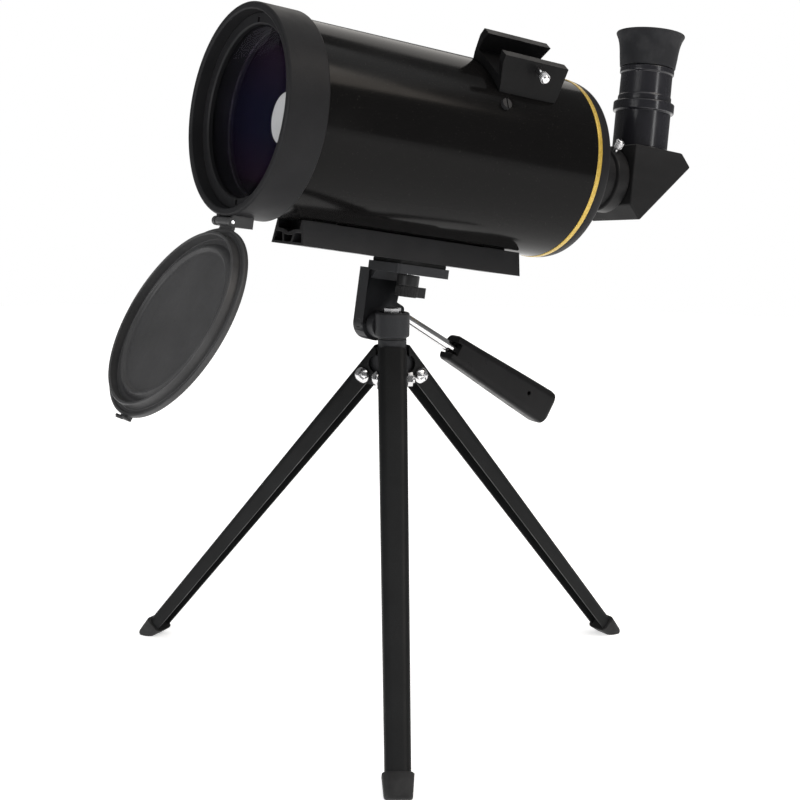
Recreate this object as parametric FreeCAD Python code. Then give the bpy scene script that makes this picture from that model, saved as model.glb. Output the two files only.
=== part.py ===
"""Small 90 mm catadioptric telescope on a folding mini tripod.

Millimetres. +Z is up and z = 0 is the ground. The origin is on the ground under the pan axis.
The telescope points along -Y with its front raised by TUBE_PITCH, and the tilt axis lies along X.
One piece of the real object is one solid in its own node.

Four frames are used while building:
  world  the frame of the part
  head   origin on the tilt axis, +Y to the rear along the tube, +Z square to the tube
  tube   origin at the centre of the front ring's face, axes as in head
  star   the tube frame turned about the optical axis, for the diagonal and the eyepiece
"""
import FreeCAD
import Part
import math
import os

V = FreeCAD.Vector
X_AXIS = V(1, 0, 0)
Y_AXIS = V(0, 1, 0)
Z_AXIS = V(0, 0, 1)
ORIGIN = V(0, 0, 0)

# ---- driving dimensions -------------------------------------------------------------------
TUBE_PITCH = 8.15            # degrees, front of the tube above the horizontal
TILT_AXIS = V(0, -2.5, 208.5)
TUBE_ORIGIN = V(0, -112.6, 103.8)   # front ring centre in the head frame

# tripod
LEG_AZIMUTHS = {"rear": 90.0, "left": 210.0, "right": 329.1}
LEG_SPREAD = 41.0            # degrees from vertical
LEG_PIVOT_R = 14.5
LEG_PIVOT_Z = 180.0
LEG_ABOVE = 17.0             # channel above its pivot
LEG_BELOW = 230.0            # channel below its pivot
LEG_WALL = 1.5
LEG_TOP_WIDTH = 16.5
LEG_END_WIDTH = 13.0
LEG_TOP_OUT = 7.2            # outer face from the pivot line
LEG_END_OUT = 4.6
LEG_TOP_IN = 4.5             # open edge from the pivot line
LEG_END_IN = 3.9
PIVOT_SCREW_R = 2.0
EAR_HALF = 5.4
EAR_R = 4.9
HUB_R = 8.2
HUB_BOTTOM = 171.6
HUB_TOP = 201.4
WASHER_TOP = 202.2
FOOT_UP = 2.5                # rubber foot above and below the end of the leg
FOOT_DOWN = 11.0

# pan head
PAN_R = 9.8
PAN_BOTTOM = 202.25
PAN_TOP = 216.4
PAN_BOLT_R = 3.0
LUG_R = 7.9
LUG_FACE_X = -12.0

# tilt bracket
CHEEK_OUT_X = -23.0
CHEEK_IN_X = -12.6
CHEEK_R = 9.7
AXLE_R = 4.0
PLATE_HALF = 16.5
PLATE_Y0 = -9.6
PLATE_Y1 = 26.0
PLATE_Z0 = 30.5
PLATE_Z1 = 35.8
PAD_Z1 = 38.0
SCREW_Y = 8.9                # tripod screw in the head frame
SCREW_R = 3.175              # quarter-inch thread

# pan handle, in the head frame
HANDLE_DROP = 22.15          # degrees below the tube's rearward direction
HANDLE_X = -17.8
HANDLE_ROOT = V(HANDLE_X, 17.2, 6.96)
ROD_LENGTH = 42.4
GRIP_LENGTH = 85.7

# optical tube, in the tube frame
RING_R = 56.0
RING_LENGTH = 24.0
LIP_R = 51.8
RETAINER_R = 45.4
RETAINER_T = 6.9
LENS_R = 46.6
LENS_T = 9.9
LENS_FRONT = (102.0, -80.5)  # radius of the surface and its centre on the axis
LENS_BACK = (107.0, -76.9)
TUBE_R = 53.1
TUBE_BORE_R = 51.55
TUBE_T0 = 14.0
TUBE_T1 = 203.8
ACCENT_T1 = 206.8
BODY_T1 = 214.3
REAR_PLATE_T = 211.3
BAFFLE_R = 9.8
NOSE_R = 15.875              # 1.25 inch nosepiece and eyepiece barrel
NOSE_BORE_R = 15.95
KNOB_POS = V(-33.0, 0, -8.5)
BACK_SCREW_T = 252.4
BACK_SCREW_ANGLE = 30.0

# dovetail bar
BAR_T0 = 40.5
BAR_T1 = 187.0
BAR_H0 = -65.8
BAR_H1 = -52.2
SADDLE_T = (48.0, 163.0)
SADDLE_LENGTH = 15.0
SPARE_THREAD_T = 75.0

# finder shoe
SHOE_ANGLE = 34.0            # degrees from the top towards +X
SHOE_T0 = 131.0
SHOE_T1 = 175.0
SHOE_TOP = 70.5
SHOE_FLOOR = 58.0
SHOE_SCREW_H = 66.2

# dust cap
HINGE_T = 1.5
HINGE_H = -58.6
CAP_OPEN = 156.8             # degrees from closed

# star diagonal and eyepiece
STAR_CLOCK = 4.0             # degrees, top of the diagonal away from +X
STAR_T = 281.5               # eyepiece axis
STAR_FACE_T = 258.8
STAR_HALF = 22.0
STAR_TOP = 21.5
HOLDER_R = 17.0
COLLAR_R = 18.8
COLLAR_TOP = 51.5
HOLDER_SCREW_TURN = -135.0   # degrees, screw direction from the front of the holder


# ---- shape helpers ------------------------------------------------------------------------
def rod(radius, start, end):
    """Cylinder between two points."""
    along = end - start
    return Part.makeCylinder(radius, along.Length, start, along)


def pipe(outer, inner, start, end):
    """Tube between two points."""
    return rod(outer, start, end).cut(rod(inner, start, end))


def block(x0, x1, y0, y1, z0, z1):
    """Box between two corners."""
    return Part.makeBox(x1 - x0, y1 - y0, z1 - z0, V(x0, y0, z0))


def prism(points, travel):
    """Closed polygon of 3-D points, extruded by a vector."""
    wire = Part.makePolygon(points + [points[0]])
    return Part.Face(wire).extrude(travel)


def spun(profile, axis=Y_AXIS):
    """Solid of revolution about the tube axis, or about Z, from (radius, height) pairs."""
    if axis == Y_AXIS:
        points = [V(r, h, 0) for r, h in profile]
    else:
        points = [V(r, 0, h) for r, h in profile]
    wire = Part.makePolygon(points + [points[0]])
    return Part.Face(wire).revolve(ORIGIN, axis, 360)


def knurled(radius, depth, teeth, start, end):
    """Knurled cylinder between two points."""
    along = end - start
    points = []
    for i in range(2 * teeth):
        angle = math.pi * i / teeth
        reach = radius if i % 2 else radius - depth
        points.append(V(reach * math.cos(angle), reach * math.sin(angle), 0))
    shape = prism(points, V(0, 0, along.Length))
    shape.Placement = FreeCAD.Placement(start, FreeCAD.Rotation(Z_AXIS, along))
    return shape


def hexagon(flats, start, end):
    """Hexagonal prism between two points, sized across its flats."""
    along = end - start
    reach = flats / math.sqrt(3)
    points = [V(reach * math.cos(math.pi * i / 3), reach * math.sin(math.pi * i / 3), 0) for i in range(6)]
    shape = prism(points, V(0, 0, along.Length))
    shape.Placement = FreeCAD.Placement(start, FreeCAD.Rotation(Z_AXIS, along))
    return shape


def rounded_section(x0, x1, half, radius_in, radius_out, z):
    """Closed wire: a rectangle in X and Y with rounded corners at the x0 and x1 ends."""
    k = 1 - math.sqrt(0.5)

    def corner(cx, cy, sx, sy, r):
        before = V(cx - sx * r, cy, z)
        middle = V(cx - sx * r * k, cy - sy * r * k, z)
        after = V(cx, cy - sy * r, z)
        return before, middle, after

    a = corner(x1, half, 1, 1, radius_out)
    b = corner(x1, -half, 1, -1, radius_out)
    c = corner(x0, -half, -1, -1, radius_in)
    d = corner(x0, half, -1, 1, radius_in)
    edges = [
        Part.Arc(*a).toShape(),
        Part.makeLine(a[2], b[2]),
        Part.Arc(b[2], b[1], b[0]).toShape(),
        Part.makeLine(b[0], c[0]),
        Part.Arc(*c).toShape(),
        Part.makeLine(c[2], d[2]),
        Part.Arc(d[2], d[1], d[0]).toShape(),
        Part.makeLine(d[0], a[0]),
    ]
    return Part.Wire(edges)


def loft(first, second):
    """Straight loft between two matching wires."""
    return Part.makeLoft([first, second], True, True)


def softened(shape, radius, wanted):
    """Shape with a fillet on each edge that the test accepts."""
    edges = [e for e in shape.Edges if wanted(e)]
    return shape.makeFillet(radius, edges)


def is_straight_along(edge, axis):
    """True for a straight edge parallel to an axis."""
    if edge.Curve.TypeId != "Part::GeomLine":
        return False
    return abs(abs(edge.tangentAt(edge.FirstParameter).dot(axis)) - 1) < 1e-6


# ---- frame helpers ------------------------------------------------------------------------
def turned(shape, centre, axis, degrees):
    """Copy of a shape turned about an axis."""
    copy = shape.copy()
    copy.rotate(centre, axis, degrees)
    return copy


def moved(shape, travel):
    """Copy of a shape moved by a vector."""
    copy = shape.copy()
    copy.translate(travel)
    return copy


def from_head(shape):
    """Head frame to world."""
    return moved(turned(shape, ORIGIN, X_AXIS, -TUBE_PITCH), TILT_AXIS)


def from_tube(shape):
    """Tube frame to world."""
    return from_head(moved(shape, TUBE_ORIGIN))


def from_star(shape):
    """Star frame to world."""
    return from_tube(turned(shape, ORIGIN, Y_AXIS, -STAR_CLOCK))


def from_leg(shape, azimuth):
    """Leg frame (pivot at the origin, leg along -Z, outer face on +X) to world."""
    spread = turned(shape, ORIGIN, Y_AXIS, -LEG_SPREAD)
    placed = moved(spread, V(LEG_PIVOT_R, 0, LEG_PIVOT_Z))
    return turned(placed, ORIGIN, Z_AXIS, azimuth)


NODES = {}


def add(name, shape):
    """Store one node, with its solids checked."""
    merged = shape.removeSplitter()
    if merged.isValid():
        shape = merged
    for solid in shape.Solids:
        if not solid.isValid() or solid.Volume <= 0:
            raise ValueError("bad solid in " + name)
    NODES[name] = shape


# ---- tripod -------------------------------------------------------------------------------
def make_hub():
    shape = rod(HUB_R, V(0, 0, HUB_BOTTOM), V(0, 0, HUB_TOP))
    for azimuth in LEG_AZIMUTHS.values():
        profile = [
            V(0, -EAR_HALF, 172.6),
            V(LEG_PIVOT_R, -EAR_HALF, LEG_PIVOT_Z - EAR_R),
            V(LEG_PIVOT_R + 4.0, -EAR_HALF, LEG_PIVOT_Z + 2.6),
            V(8.0, -EAR_HALF, 192.0),
            V(0, -EAR_HALF, 192.0),
        ]
        ear = prism(profile, V(0, 2 * EAR_HALF, 0))
        tip_start = V(LEG_PIVOT_R, -EAR_HALF, LEG_PIVOT_Z)
        tip_end = V(LEG_PIVOT_R, EAR_HALF, LEG_PIVOT_Z)
        ear = ear.fuse(rod(EAR_R, tip_start, tip_end)).cut(rod(PIVOT_SCREW_R, tip_start, tip_end))
        shape = shape.fuse(turned(ear, ORIGIN, Z_AXIS, azimuth))
    bore = rod(PAN_BOLT_R, V(0, 0, HUB_TOP - 16), V(0, 0, HUB_TOP + 1))
    return shape.cut(bore)


def make_pivot_screw():
    """Domed cross-head screw lying along Y through one leg pivot, in a frame at the pivot."""
    seat = LEG_TOP_WIDTH / 2 + 0.1
    shank = rod(PIVOT_SCREW_R, V(0, -seat, 0), V(0, seat + 4.2, 0))
    dome = Part.makeSphere(5.2, V(0, -seat + 1.8, 0))
    head = dome.common(rod(4.5, V(0, -seat - 3.2, 0), V(0, -seat, 0)))
    slot = block(-2.6, 2.6, -seat - 4, -seat - 1.7, -0.55, 0.55)
    cross = slot.fuse(turned(slot, ORIGIN, Y_AXIS, 90))
    return head.fuse(shank).cut(cross)


def make_pivot_nut():
    seat = LEG_TOP_WIDTH / 2 + 0.1
    nut = hexagon(7.0, V(0, seat, 0), V(0, seat + 3.2, 0))
    return nut.cut(rod(PIVOT_SCREW_R, V(0, seat - 1, 0), V(0, seat + 4, 0)))


def leg_section(z, inset, past):
    """Outline of the tapered channel at one height; past runs it out through the open side."""
    share = (z + LEG_BELOW) / (LEG_ABOVE + LEG_BELOW)

    def mix(end, top):
        return end + (top - end) * share

    inner_edge = -mix(LEG_END_IN, LEG_TOP_IN) - past
    outer_face = mix(LEG_END_OUT, LEG_TOP_OUT) - inset
    half = mix(LEG_END_WIDTH, LEG_TOP_WIDTH) / 2 - inset
    return rounded_section(inner_edge, outer_face, half, 0.4, mix(3.6, 4.0) - inset, z)


def make_leg():
    """Folded sheet channel, open towards the other legs, in the leg frame."""
    outer = loft(leg_section(-LEG_BELOW, 0, 0), leg_section(LEG_ABOVE, 0, 0))
    inner = loft(leg_section(-LEG_BELOW, LEG_WALL, 6), leg_section(LEG_ABOVE, LEG_WALL, 6))
    leg = outer.cut(inner)
    bite = rod(5.5, V(-2.4, -12, 11.6), V(-2.4, 12, 11.6)).fuse(block(-12, -1.9, -12, 12, 11.6, 20))
    hole = rod(PIVOT_SCREW_R + 0.1, V(0, -12, 0), V(0, 12, 0))
    return leg.cut(bite).cut(hole)


def make_foot():
    """Rubber foot pushed onto the end of the channel, in the leg frame."""
    top = -LEG_BELOW + FOOT_UP
    nose = -LEG_BELOW - FOOT_DOWN
    body = loft(
        rounded_section(-2.3, 5.2, 7.0, 2.2, 2.2, nose),
        rounded_section(-6.2, 5.9, 8.0, 2.2, 3.2, top),
    )
    body = softened(body, 1.4, lambda e: abs(e.CenterOfMass.z - nose) < 0.1)
    socket = loft(leg_section(-LEG_BELOW, 0, 0), leg_section(top + 2, 0, 0))
    return body.cut(socket)


def build_tripod():
    add("hub", make_hub())
    add("pan_washer", pipe(HUB_R, PAN_BOLT_R, V(0, 0, HUB_TOP), V(0, 0, WASHER_TOP)))
    leg = make_leg()
    foot = make_foot()
    core = rod(HUB_R + 0.35, V(0, 0, 150), V(0, 0, 215))
    near_axis = block(-20, 6.3, -20, 20, 186, 215)
    below_ground = block(-400, 400, -400, 400, -60, 0)
    screws = []
    nuts = []
    for side, azimuth in LEG_AZIMUTHS.items():
        placed = from_leg(leg, azimuth).cut(core)
        placed = placed.cut(turned(near_axis, ORIGIN, Z_AXIS, azimuth))
        add("leg_" + side, placed)
        add("foot_" + side, from_leg(foot, azimuth).cut(below_ground))
        screw = make_pivot_screw()
        nut = make_pivot_nut()
        if side == "left":
            screw = turned(screw, ORIGIN, Z_AXIS, 180)
            nut = turned(nut, ORIGIN, Z_AXIS, 180)
        screws.append(from_leg(screw, azimuth))
        nuts.append(from_leg(nut, azimuth))
    add("pivot_screws", Part.makeCompound(screws))
    add("pivot_nuts", Part.makeCompound(nuts))


# ---- pan head and tilt bracket --------------------------------------------------------------
def build_pan_head():
    drum = rod(PAN_R, V(0, 0, PAN_BOTTOM), V(0, 0, PAN_TOP))
    lug_start = V(LUG_FACE_X, TILT_AXIS.y, TILT_AXIS.z)
    lug = rod(LUG_R, lug_start, V(0, TILT_AXIS.y, TILT_AXIS.z))
    lug = lug.cut(rod(HUB_R + 0.4, V(0, 0, 190), V(0, 0, PAN_BOTTOM)))
    shape = drum.fuse(lug)
    shape = shape.cut(rod(7.4, V(0, 0, PAN_TOP - 1.6), V(0, 0, PAN_TOP + 5)))
    shape = shape.cut(rod(PAN_BOLT_R + 0.08, V(0, 0, 190), V(0, 0, 230)))
    axle_end = V(-4.6, TILT_AXIS.y, TILT_AXIS.z)
    shape = shape.cut(rod(3.0, V(LUG_FACE_X - 1, TILT_AXIS.y, TILT_AXIS.z), axle_end))
    add("pan_head", shape)

    seat = PAN_TOP - 1.5
    bolt = rod(PAN_BOLT_R, V(0, 0, HUB_TOP - 16), V(0, 0, seat))
    bolt = bolt.fuse(rod(5.2, V(0, 0, seat), V(0, 0, seat + 0.9)))
    bolt = bolt.fuse(hexagon(8.6, V(0, 0, seat + 0.9), V(0, 0, seat + 3.8)))
    add("pan_bolt", bolt)

    y, z = TILT_AXIS.y, TILT_AXIS.z
    axle = rod(AXLE_R, V(CHEEK_OUT_X + 3, y, z), V(LUG_FACE_X, y, z))
    axle = axle.fuse(rod(3.0, V(LUG_FACE_X, y, z), axle_end))
    axle = axle.fuse(rod(6.5, V(CHEEK_OUT_X - 0.8, y, z), V(CHEEK_OUT_X + 3 - 0.1, y, z)))
    axle = axle.fuse(rod(AXLE_R, V(CHEEK_OUT_X + 2, y, z), V(CHEEK_OUT_X + 4, y, z)))
    axle = axle.cut(hexagon(4.0, V(CHEEK_OUT_X - 2, y, z), V(CHEEK_OUT_X + 1.6, y, z)))
    add("tilt_axle", axle)
    add("tilt_washer", pipe(7.4, AXLE_R, V(LUG_FACE_X - 0.5, y, z), V(LUG_FACE_X, y, z)))


def handle_point(along):
    """Point on the handle's centre line, in the head frame."""
    drop = math.radians(HANDLE_DROP)
    return HANDLE_ROOT + V(0, math.cos(drop), -math.sin(drop)) * along


def build_bracket():
    x0, x1 = CHEEK_OUT_X, CHEEK_IN_X
    across = V(x1 - x0, 0, 0)
    top = PLATE_Z0 + 1.0
    profile = [V(x0, -CHEEK_R, 0), V(x0, -CHEEK_R, top), V(x0, 14.2, top), V(x0, 11.2, 8.5), V(x0, 9.4, 2.2)]
    cheek = prism(profile, across).fuse(rod(CHEEK_R, V(x0, 0, 0), V(x1, 0, 0)))
    cheek = cheek.fuse(rod(5.2, handle_point(-12.2), handle_point(0)))
    cheek = cheek.cut(block(x0 + 2.6, x1 - 2.6, -4.5, 8.5, 14.5, 27.0).fuse(
        block(x0 - 1, x0 + 4, -4.5, 8.5, 14.5, 27.0)))
    plate = block(-PLATE_HALF, PLATE_HALF, PLATE_Y0, PLATE_Y1, PLATE_Z0, PLATE_Z1)
    plate = softened(plate, 2.6, lambda e: is_straight_along(e, Z_AXIS))
    rib = prism([V(x1 - 0.2, -8, PLATE_Z0 + 0.2), V(x1 + 5, -8, PLATE_Z0 + 0.2), V(x1 - 0.2, -8, PLATE_Z0 - 5)],
                V(0, 20, 0))
    shape = cheek.fuse(plate).fuse(rib)
    shape = shape.cut(rod(AXLE_R + 0.08, V(x0 - 1, 0, 0), V(x1 + 1, 0, 0)))
    shape = shape.cut(rod(6.7, V(x0 - 1, 0, 0), V(x0 + 3, 0, 0)))
    shape = shape.cut(rod(3.05, handle_point(-9.8), handle_point(1)))
    shape = shape.cut(rod(SCREW_R + 0.12, V(0, SCREW_Y, PLATE_Z0 - 1), V(0, SCREW_Y, PLATE_Z1 + 1)))
    centre_x = (x0 + x1) / 2
    shape = shape.cut(rod(3.0, V(centre_x, -CHEEK_R - 1, -1.2), V(centre_x, -CHEEK_R + 1.4, -1.2)))
    add("tilt_bracket", from_head(shape))

    screw = rod(2.7, V(centre_x, -CHEEK_R + 0.4, -1.2), V(centre_x, -CHEEK_R + 1.4, -1.2))
    screw = screw.cut(block(centre_x - 3, centre_x + 3, -CHEEK_R, -CHEEK_R + 0.9, -1.65, -0.75))
    add("friction_screw", from_head(screw))

    pad = block(-14.8, 14.8, PLATE_Y0 + 2, PLATE_Y1 - 1.6, PLATE_Z1, PAD_Z1)
    pad = softened(pad, 2.0, lambda e: is_straight_along(e, Z_AXIS))
    pad = pad.cut(rod(SCREW_R + 0.4, V(0, SCREW_Y, PLATE_Z1 - 1), V(0, SCREW_Y, PAD_Z1 + 1)))
    add("platform_pad", from_head(pad))


def build_camera_screw():
    top = PLATE_Z0 - 0.25
    stud = rod(SCREW_R, V(0, SCREW_Y, top - 6), V(0, SCREW_Y, PAD_Z1 + 5))
    knob = rod(6.5, V(0, SCREW_Y, top - 6.4), V(0, SCREW_Y, top))
    knob = knob.fuse(knurled(6.6, 0.45, 30, V(0, SCREW_Y, top - 12.7), V(0, SCREW_Y, top - 6.4)))
    tab = block(-2.2, 2.2, SCREW_Y, SCREW_Y + 12.2, top - 12.4, top - 6.4)
    tab = softened(tab, 1.2, lambda e: is_straight_along(e, Z_AXIS) and e.CenterOfMass.y > SCREW_Y + 5)
    knob = knob.fuse(tab).cut(rod(SCREW_R, V(0, SCREW_Y, top - 6), V(0, SCREW_Y, top + 1)))
    add("screw_stud", from_head(stud))
    add("screw_knob", from_head(knob))


def build_handle():
    rod_shape = rod(3.0, handle_point(-9.2), handle_point(0.3))
    direction = handle_point(1) - handle_point(0)
    taper = Part.makeCone(3.0, 3.35, ROD_LENGTH + 8, handle_point(0.3), direction)
    tang = rod(2.6, handle_point(ROD_LENGTH + 8), handle_point(ROD_LENGTH + 36))
    add("handle_rod", from_head(rod_shape.fuse(taper).fuse(tang)))

    grip = loft(
        rounded_section(-8.2, 8.2, 6.8, 4.0, 4.0, 0),
        rounded_section(-10.9, 10.9, 8.4, 5.0, 5.0, GRIP_LENGTH),
    )
    grip = softened(grip, 2.2, lambda e: abs(e.CenterOfMass.z - GRIP_LENGTH) < 0.5)
    grip = softened(grip, 1.2, lambda e: abs(e.CenterOfMass.z) < 0.1)
    grip = grip.cut(block(-3.7, 3.7, -12, 12, -1, 3.8))
    grip = grip.cut(rod(1.4, V(-1.0, -12, 63.6), V(-1.0, 12, 63.6)))
    grip.rotate(ORIGIN, Z_AXIS, 90)
    grip.Placement = FreeCAD.Placement(
        handle_point(ROD_LENGTH), FreeCAD.Rotation(Z_AXIS, direction)
    ).multiply(grip.Placement)
    socket = rod(2.6, handle_point(ROD_LENGTH + 7), handle_point(ROD_LENGTH + 36))
    mouth = rod(3.4, handle_point(ROD_LENGTH - 1), handle_point(ROD_LENGTH + 8.3))
    add("handle_grip", from_head(grip.cut(socket).cut(mouth)))


# ---- optical tube ---------------------------------------------------------------------------
def build_front():
    ring = spun([
        (55.0, 0), (RING_R, 1.0), (RING_R, RING_LENGTH - 0.6), (RING_R - 0.6, RING_LENGTH), (TUBE_R, RING_LENGTH), (TUBE_R, TUBE_T0),
        (51.5, TUBE_T0), (51.5, 22.6), (45.2, 22.6), (45.2, 20.2), (LENS_R, 20.2), (LENS_R, LENS_T),
        (LIP_R, LENS_T), (LIP_R, 0.7), (52.5, 0),
    ])
    add("front_ring", ring_placed(ring))
    retainer = spun([
        (RETAINER_R, RETAINER_T + 0.8), (RETAINER_R + 0.8, RETAINER_T), (LIP_R - 0.6, RETAINER_T),
        (LIP_R, RETAINER_T + 0.6), (LIP_R, LENS_T), (RETAINER_R, LENS_T),
    ])
    for side in (-1, 1):
        mid = side * (RETAINER_R + 2.4)
        retainer = retainer.cut(block(-1.1, 1.1, RETAINER_T - 1, RETAINER_T + 1.4, mid - 2.2, mid + 2.2))
    add("lens_retainer", ring_placed(retainer))

    blank = rod(LENS_R, V(0, LENS_T, 0), V(0, 32, 0))
    back = Part.makeSphere(LENS_BACK[0], V(0, LENS_BACK[1], 0))
    front = Part.makeSphere(LENS_FRONT[0], V(0, LENS_FRONT[1], 0))
    add("corrector_lens", ring_placed(blank.common(back).cut(front)))
    spot_blank = rod(14.0, V(0, 20, 0), V(0, 32, 0))
    spot = spot_blank.common(Part.makeSphere(LENS_BACK[0] + 0.3, V(0, LENS_BACK[1], 0))).cut(back)
    add("secondary_spot", ring_placed(spot))
    baffle = spun([(14.1, 28.9), (15.0, 28.8), (13.8, 50.5), (13.0, 50.5)])
    add("secondary_baffle", ring_placed(baffle.cut(back)))


def ring_placed(shape):
    """Tube-frame shape to world; named for how often the front pieces use it."""
    return from_tube(shape)


def drilled_for_fasteners(shape):
    """Tube wall with the holes for its saddle and shoe screws."""
    for t in SADDLE_T:
        mid = t + SADDLE_LENGTH / 2
        shape = shape.cut(rod(PIVOT_SCREW_R, V(0, mid, -56), V(0, mid, -45)))
    for t in (SHOE_T0 + 10, SHOE_T1 - 10):
        hole = rod(PIVOT_SCREW_R, V(0, t, 45), V(0, t, 56))
        shape = shape.cut(turned(hole, ORIGIN, Y_AXIS, SHOE_ANGLE))
    return shape


def build_tube():
    tube = drilled_for_fasteners(pipe(TUBE_R, TUBE_BORE_R, V(0, TUBE_T0, 0), V(0, TUBE_T1, 0)))
    add("main_tube", from_tube(tube))
    accent = spun([(51.5, TUBE_T1), (TUBE_R + 0.1, TUBE_T1), (TUBE_R + 0.3, TUBE_T1 + 0.2),
                   (TUBE_R + 0.3, ACCENT_T1 - 0.2), (TUBE_R + 0.1, ACCENT_T1), (51.5, ACCENT_T1)])
    add("accent_ring", from_tube(accent))
    cell = spun([
        (49.5, 196), (51.5, 196), (51.5, ACCENT_T1), (TUBE_R, ACCENT_T1), (TUBE_R, 209.0), (52.8, 211.0),
        (52.3, 213.0), (51.6, BODY_T1), (48.6, BODY_T1), (48.6, REAR_PLATE_T), (24.5, REAR_PLATE_T),
        (24.5, 219.0), (13.0, 219.0), (13.0, 208.0), (49.5, 208.0),
    ])
    knob_hole = rod(5.1, V(KNOB_POS.x, 205, KNOB_POS.z), V(KNOB_POS.x, 215, KNOB_POS.z))
    add("rear_cell", from_tube(cell.cut(knob_hole)))
    add("primary_baffle", from_tube(spun([
        (9.0, 95), (9.5, 95), (BAFFLE_R, 110), (BAFFLE_R, 206.4), (16.0, 206.4), (16.0, 208.0), (9.0, 208.0),
    ])))
    back = spun([
        (24.5, 219.0), (24.5, 222.4), (23.6, 223.0), (17.8, 223.0), (17.8, 248.6), (19.4, 249.2), (20.0, 249.9),
        (20.0, 257.8), (19.4, 258.4), (NOSE_BORE_R, 258.4), (NOSE_BORE_R, 229.0), (13.6, 229.0), (13.6, 219.0),
    ])
    hole = rod(1.5, V(0, BACK_SCREW_T, 10), V(0, BACK_SCREW_T, 21))
    hole = turned(hole, ORIGIN, Y_AXIS, BACK_SCREW_ANGLE)
    add("visual_back", from_tube(back.cut(hole)))


def build_mirror():
    disc = pipe(47.0, 13.1, V(0, 186, 0), V(0, 198.9, 0))
    hollow = Part.makeSphere(380.0, V(0, 189.4 - 380.0, 0))
    add("primary_mirror", from_tube(disc.cut(hollow)))
    carrier = spun([
        (BAFFLE_R + 0.06, 180), (13.1, 180), (13.1, 199.0), (40.0, 199.0), (40.0, 203.0), (BAFFLE_R + 0.06, 203.0),
    ])
    x, z = KNOB_POS.x, KNOB_POS.z
    add("mirror_carrier", from_tube(carrier.cut(rod(2.5, V(x, 198, z), V(x, 204, z)))))
    add("focus_screw", from_tube(rod(2.5, V(x, 199.4, z), V(x, 221, z))))


def build_focus_knob():
    x, z = KNOB_POS.x, KNOB_POS.z
    knob = knurled(8.6, 0.5, 24, V(x, 212.2, z), V(x, 225.4, z))
    knob = knob.fuse(rod(7.4, V(x, 225.4, z), V(x, 227.2, z)))
    knob = knob.fuse(rod(5.0, V(x, 208.3, z), V(x, 212.2, z)))
    add("focus_knob", from_tube(knob.cut(rod(2.56, V(x, 208, z), V(x, 225.6, z)))))


def build_dovetail():
    outline = [(-17.7, BAR_H0), (17.7, BAR_H0), (14.1, BAR_H1), (12.6, BAR_H1), (12.0, -57.2), (6.0, -57.6),
               (0, -59.2), (-6.0, -57.6), (-12.0, -57.2), (-12.6, BAR_H1), (-14.1, BAR_H1)]
    run = V(0, BAR_T1 - BAR_T0, 0)

    def extruded(points):
        return prism([V(x, BAR_T0, h) for x, h in points], run)

    whole = extruded(outline)
    side = [(15.4, -64.4), (5.4, -64.4), (7.2, -59.5), (13.9, -59.0)]
    middle = [(-3.6, -64.4), (3.6, -64.4), (5.0, -60.2), (0, -61.0), (-5.0, -60.2)]
    bar = whole.cut(extruded(side)).cut(extruded([(-x, h) for x, h in side])).cut(extruded(middle))
    screw_t = SCREW_Y - TUBE_ORIGIN.y
    for t in (screw_t, SPARE_THREAD_T):
        bar = bar.fuse(rod(6.4, V(0, t, BAR_H0), V(0, t, -59.6)))
        bar = bar.cut(rod(SCREW_R + 0.05, V(0, t, BAR_H0 - 1), V(0, t, -57)))
    saddles = []
    screws = []
    shell = rod(TUBE_R, V(0, 0, 0), V(0, 300, 0))
    for t in SADDLE_T:
        mid = t + SADDLE_LENGTH / 2
        bar = bar.cut(rod(4.0, V(0, mid, BAR_H0 - 1), V(0, mid, -61.4)))
        bar = bar.cut(rod(PIVOT_SCREW_R, V(0, mid, -62), V(0, mid, -56)))
        saddle = block(-11.6, 11.6, t, t + SADDLE_LENGTH, -60.0, -49.0).cut(shell).cut(whole)
        saddle = saddle.cut(rod(PIVOT_SCREW_R, V(0, mid, -62), V(0, mid, -45)))
        saddles.append(saddle)
        screw = rod(PIVOT_SCREW_R, V(0, mid, -61.2), V(0, mid, -50.6))
        screw = screw.fuse(rod(3.5, V(0, mid, -64.2), V(0, mid, -61.1)))
        screws.append(screw.cut(hexagon(3.0, V(0, mid, -65), V(0, mid, -62.6))))
    add("dovetail_bar", from_tube(bar))
    add("saddle_blocks", from_tube(Part.makeCompound(saddles)))
    add("saddle_screws", from_tube(Part.makeCompound(screws)))


def from_shoe(shape):
    """Shoe frame (tube frame turned about the tube axis) to world."""
    return from_tube(turned(shape, ORIGIN, Y_AXIS, SHOE_ANGLE))


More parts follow.
